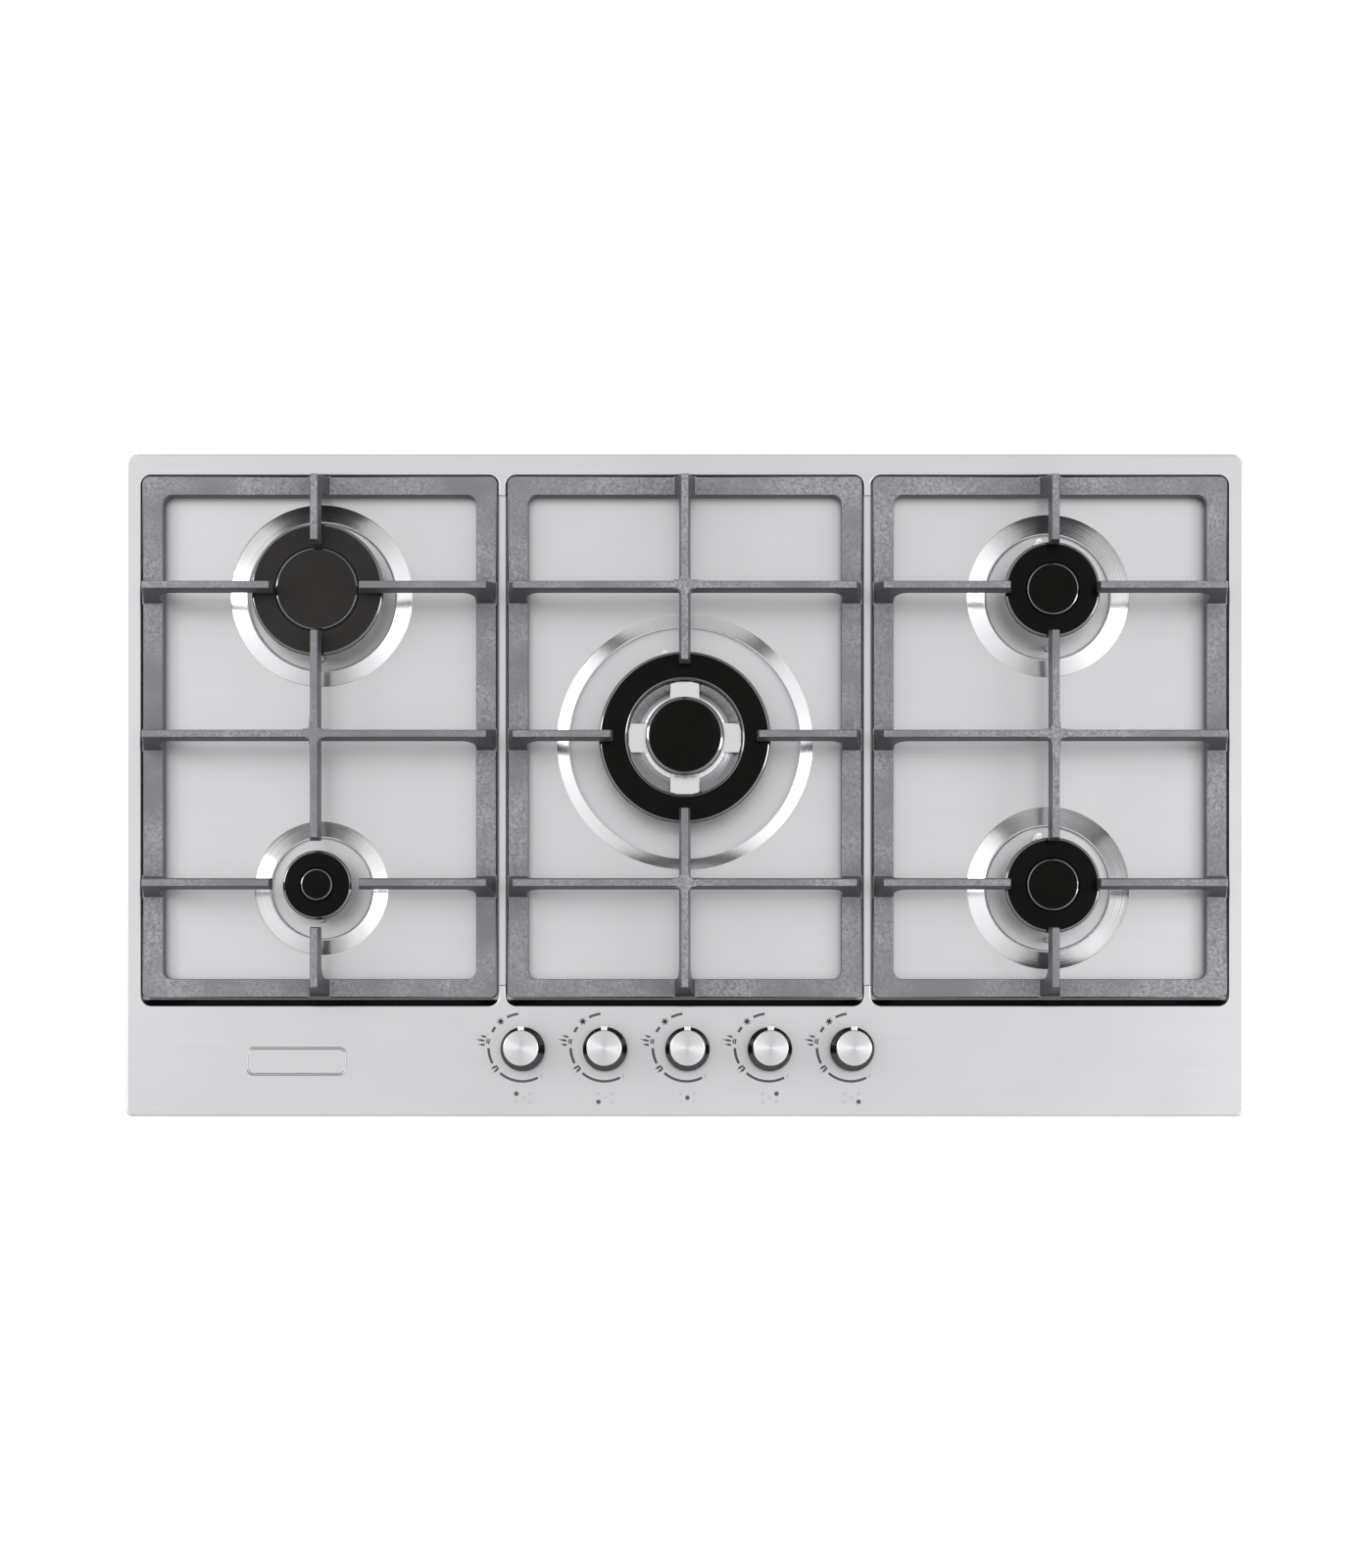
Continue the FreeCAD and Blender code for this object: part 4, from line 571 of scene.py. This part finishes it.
icon = {"below": 37.0, "across": 5.3, "along": 3.1, "dot": 1.4, "active": 1.8}
corners = {"rear_left": (-1, 1), "front_left": (-1, -1), "centre": (0, 0), "rear_right": (1, 1),
           "front_right": (1, -1)}


def printDot(work, middle, corner, radius):
    across, along = corner
    spot = middle + Vector((across * icon["across"] / 1000, along * icon["along"] / 1000, 0))
    bmesh.ops.create_circle(work, cap_ends=True, segments=16, radius=radius / 1000,
                            matrix=Matrix.Translation(spot))


for name, knobCentre in knobs.items():
    shiftX, shiftY = scale["shift"]
    middle = Vector((knobCentre.x + shiftX / 1000, knobCentre.y + shiftY / 1000, plate["top"]))
    iconMiddle = Vector((knobCentre.x, knobCentre.y - icon["below"] / 1000, plate["top"]))
    work = bmesh.new()
    for start, stop in scale["dashes"]:
        inner = work.verts.new(atAngle(middle, start, scale["radius"] - scale["line"] / 2))
        outer = work.verts.new(atAngle(middle, start, scale["radius"] + scale["line"] / 2))
        edge = work.edges.new((inner, outer))
        bmesh.ops.spin(work, geom=[inner, outer, edge], cent=middle, axis=(0, 0, 1),
                       angle=math.radians(stop - start), steps=max(4, (stop - start) // 4))
    for turn in (0, 60, 120):
        printBar(work, atAngle(middle, spark["turn"], scale["radius"]), spark["turn"] + turn,
                 spark["length"], spark["line"])
    for flame in flames:
        for radius, length in flame["bars"]:
            printBar(work, atAngle(middle, flame["turn"], radius), flame["turn"] + 90, length, flame["line"])
        for offset, radius, length in flame["drops"]:
            heading = flame["turn"] + offset
            printDrop(work, atAngle(middle, heading, radius), heading, length, flame["dropWide"])
    printDot(work, iconMiddle, corners[name], icon["active"])
    thicken(work)
    finishPiece("knobScale_" + name, work, [finishes["ink"]], "hob")
    work = bmesh.new()
    for other, corner in corners.items():
        if other != name:
            printDot(work, iconMiddle, corner, icon["dot"])
    printBar(work, atAngle(middle, endMark["turn"], endMark["radius"]), endMark["heading"],
             endMark["length"], endMark["line"])
    thicken(work)
    finishPiece("burnerPlaceSign_" + name, work, [finishes["paleInk"]], "hob")
print("scales printed")


# ---- floor, light and camera ----
studio = {"floor": 6.0, "below": 0.0005, "glow": 0.5}
bpy.ops.mesh.primitive_plane_add(size=studio["floor"], location=(0, 0, -studio["below"]))
floor = bpy.context.object
floor.name = "studioFloor"
paper, tree, shader = newMaterial("paintedPaper", "#F4F4F4", 0.0, 0.9)
shader.inputs["Emission Color"].default_value = (1, 1, 1, 1)         # lit a little from behind
shader.inputs["Emission Strength"].default_value = studio["glow"]
floor.data.materials.append(paper)


def areaLight(name, place, width, height, power):
    # a softbox that faces the middle of the cooktop
    data = bpy.data.lights.new(name, "AREA")
    data.shape = "RECTANGLE"
    data.size = width
    data.size_y = height
    data.energy = power
    lamp = bpy.data.objects.new(name, data)
    lamp.location = place
    lamp.rotation_euler = (-Vector(place)).to_track_quat("-Z", "Y").to_euler()
    bpy.context.scene.collection.objects.link(lamp)


areaLight("softboxLeft", (-2.7, 0.8, 1.7), 0.9, 1.2, 30)
areaLight("softboxRight", (2.5, 0.0, 1.8), 0.8, 1.1, 26)

# a light tent: pale overhead and low down, walls bright at left and right, grey in front and behind
tent = {"overhead": 0.98, "brightest": 2.3, "low": 0.8, "horizon": 0.92}
wallsStart = {"inside": 0.22, "outside": 0.36}                       # squared sine of the tilt from upright
wallsStop = {"upper": 0.46, "lower": 0.32, "horizonTop": 0.10, "horizon": 0.05}     # sine of the elevation

# how bright the walls are, by share of a turn from the right, anticlockwise
tentWalls = ((0.0, 0.85), (0.10, 0.66), (0.20, 0.38), (0.25, 0.28), (0.30, 0.42), (0.37, 0.8), (0.46, 0.72),
             (0.52, 0.7), (0.60, 0.6), (0.68, 0.46), (0.75, 0.26), (0.84, 0.6), (0.92, 0.85), (1.0, 0.85))
world = bpy.data.worlds.new("lightTent")
world.use_nodes = True
tree = world.node_tree
direction = addNode(tree, "TexCoord").outputs["Generated"]
parts = addNode(tree, "SeparateXYZ", {0: direction})
bearing = addNode(tree, "Math", {0: parts.outputs["Y"], 1: parts.outputs["X"]}, operation="ARCTAN2")
turnShare = addNode(tree, "Math", {0: bearing.outputs[0], 1: math.tau}, operation="DIVIDE")
turnRound = addNode(tree, "Math", {0: turnShare.outputs[0], 1: 1.0}, operation="FLOORED_MODULO")
ramp = addNode(tree, "ValToRGB", {0: turnRound.outputs[0]})
ramp.color_ramp.interpolation = "EASE"
for wall in tentWalls[1:-1]:
    ramp.color_ramp.elements.new(wall[0])
for element, (share, level) in zip(ramp.color_ramp.elements, tentWalls):
    element.position = share
    element.color = (level, level, level, 1)
walls = addNode(tree, "Math", {0: ramp.outputs[0], 1: tent["brightest"]}, operation="MULTIPLY")
upright = addNode(tree, "Math", {0: parts.outputs["Z"], 1: 2.0}, operation="POWER")
tiltSquare = addNode(tree, "Math", {0: 1.0, 1: upright.outputs[0]}, operation="SUBTRACT")
outward = addNode(tree, "MapRange", {"Value": tiltSquare.outputs[0], "From Min": wallsStart["inside"],
                                     "From Max": wallsStart["outside"]}, interpolation_type="SMOOTHSTEP")
upper = addNode(tree, "Mix", {0: outward.outputs[0], 2: tent["overhead"], 3: walls.outputs[0]},
                data_type="FLOAT")
lowDown = addNode(tree, "MapRange", {"Value": parts.outputs["Z"], "From Min": wallsStop["upper"],
                                     "From Max": wallsStop["lower"]}, interpolation_type="SMOOTHSTEP")
lower = addNode(tree, "Mix", {0: lowDown.outputs[0], 2: upper.outputs[0], 3: tent["low"]},
                data_type="FLOAT")
farAway = addNode(tree, "MapRange", {"Value": parts.outputs["Z"], "From Min": wallsStop["horizonTop"],
                                     "From Max": wallsStop["horizon"]}, interpolation_type="SMOOTHSTEP")
tone = addNode(tree, "Mix", {0: farAway.outputs[0], 2: lower.outputs[0], 3: tent["horizon"]},
               data_type="FLOAT")
tree.links.new(tone.outputs[0], tree.nodes["Background"].inputs["Strength"])
tree.nodes["Background"].inputs["Color"].default_value = (1, 1, 1, 1)
bpy.context.scene.world = world
bpy.context.scene.view_settings.view_transform = "Standard"

# the photo's camera looks straight down; its picture is 1600 pixels high, at 1330 pixels to the metre
camera = {"height": 1.8, "front": 0.28, "scale": 1330.0, "longSide": 1600.0, "sensor": 36.0,
          "pixelsRight": 1.2, "pixelsUp": 1.0}
view = bpy.data.cameras.new("photoCamera")
view.sensor_width = camera["sensor"]
view.lens = camera["scale"] * camera["height"] / camera["longSide"] * camera["sensor"]
view.shift_x = camera["pixelsRight"] / camera["longSide"]
view.shift_y = (camera["front"] * camera["scale"] + camera["pixelsUp"]) / camera["longSide"]
eye = bpy.data.objects.new("photoCamera", view)
eye.location = (0, -camera["front"], plate["top"] + camera["height"])
bpy.context.scene.collection.objects.link(eye)
bpy.context.scene.camera = eye
print("studio set")
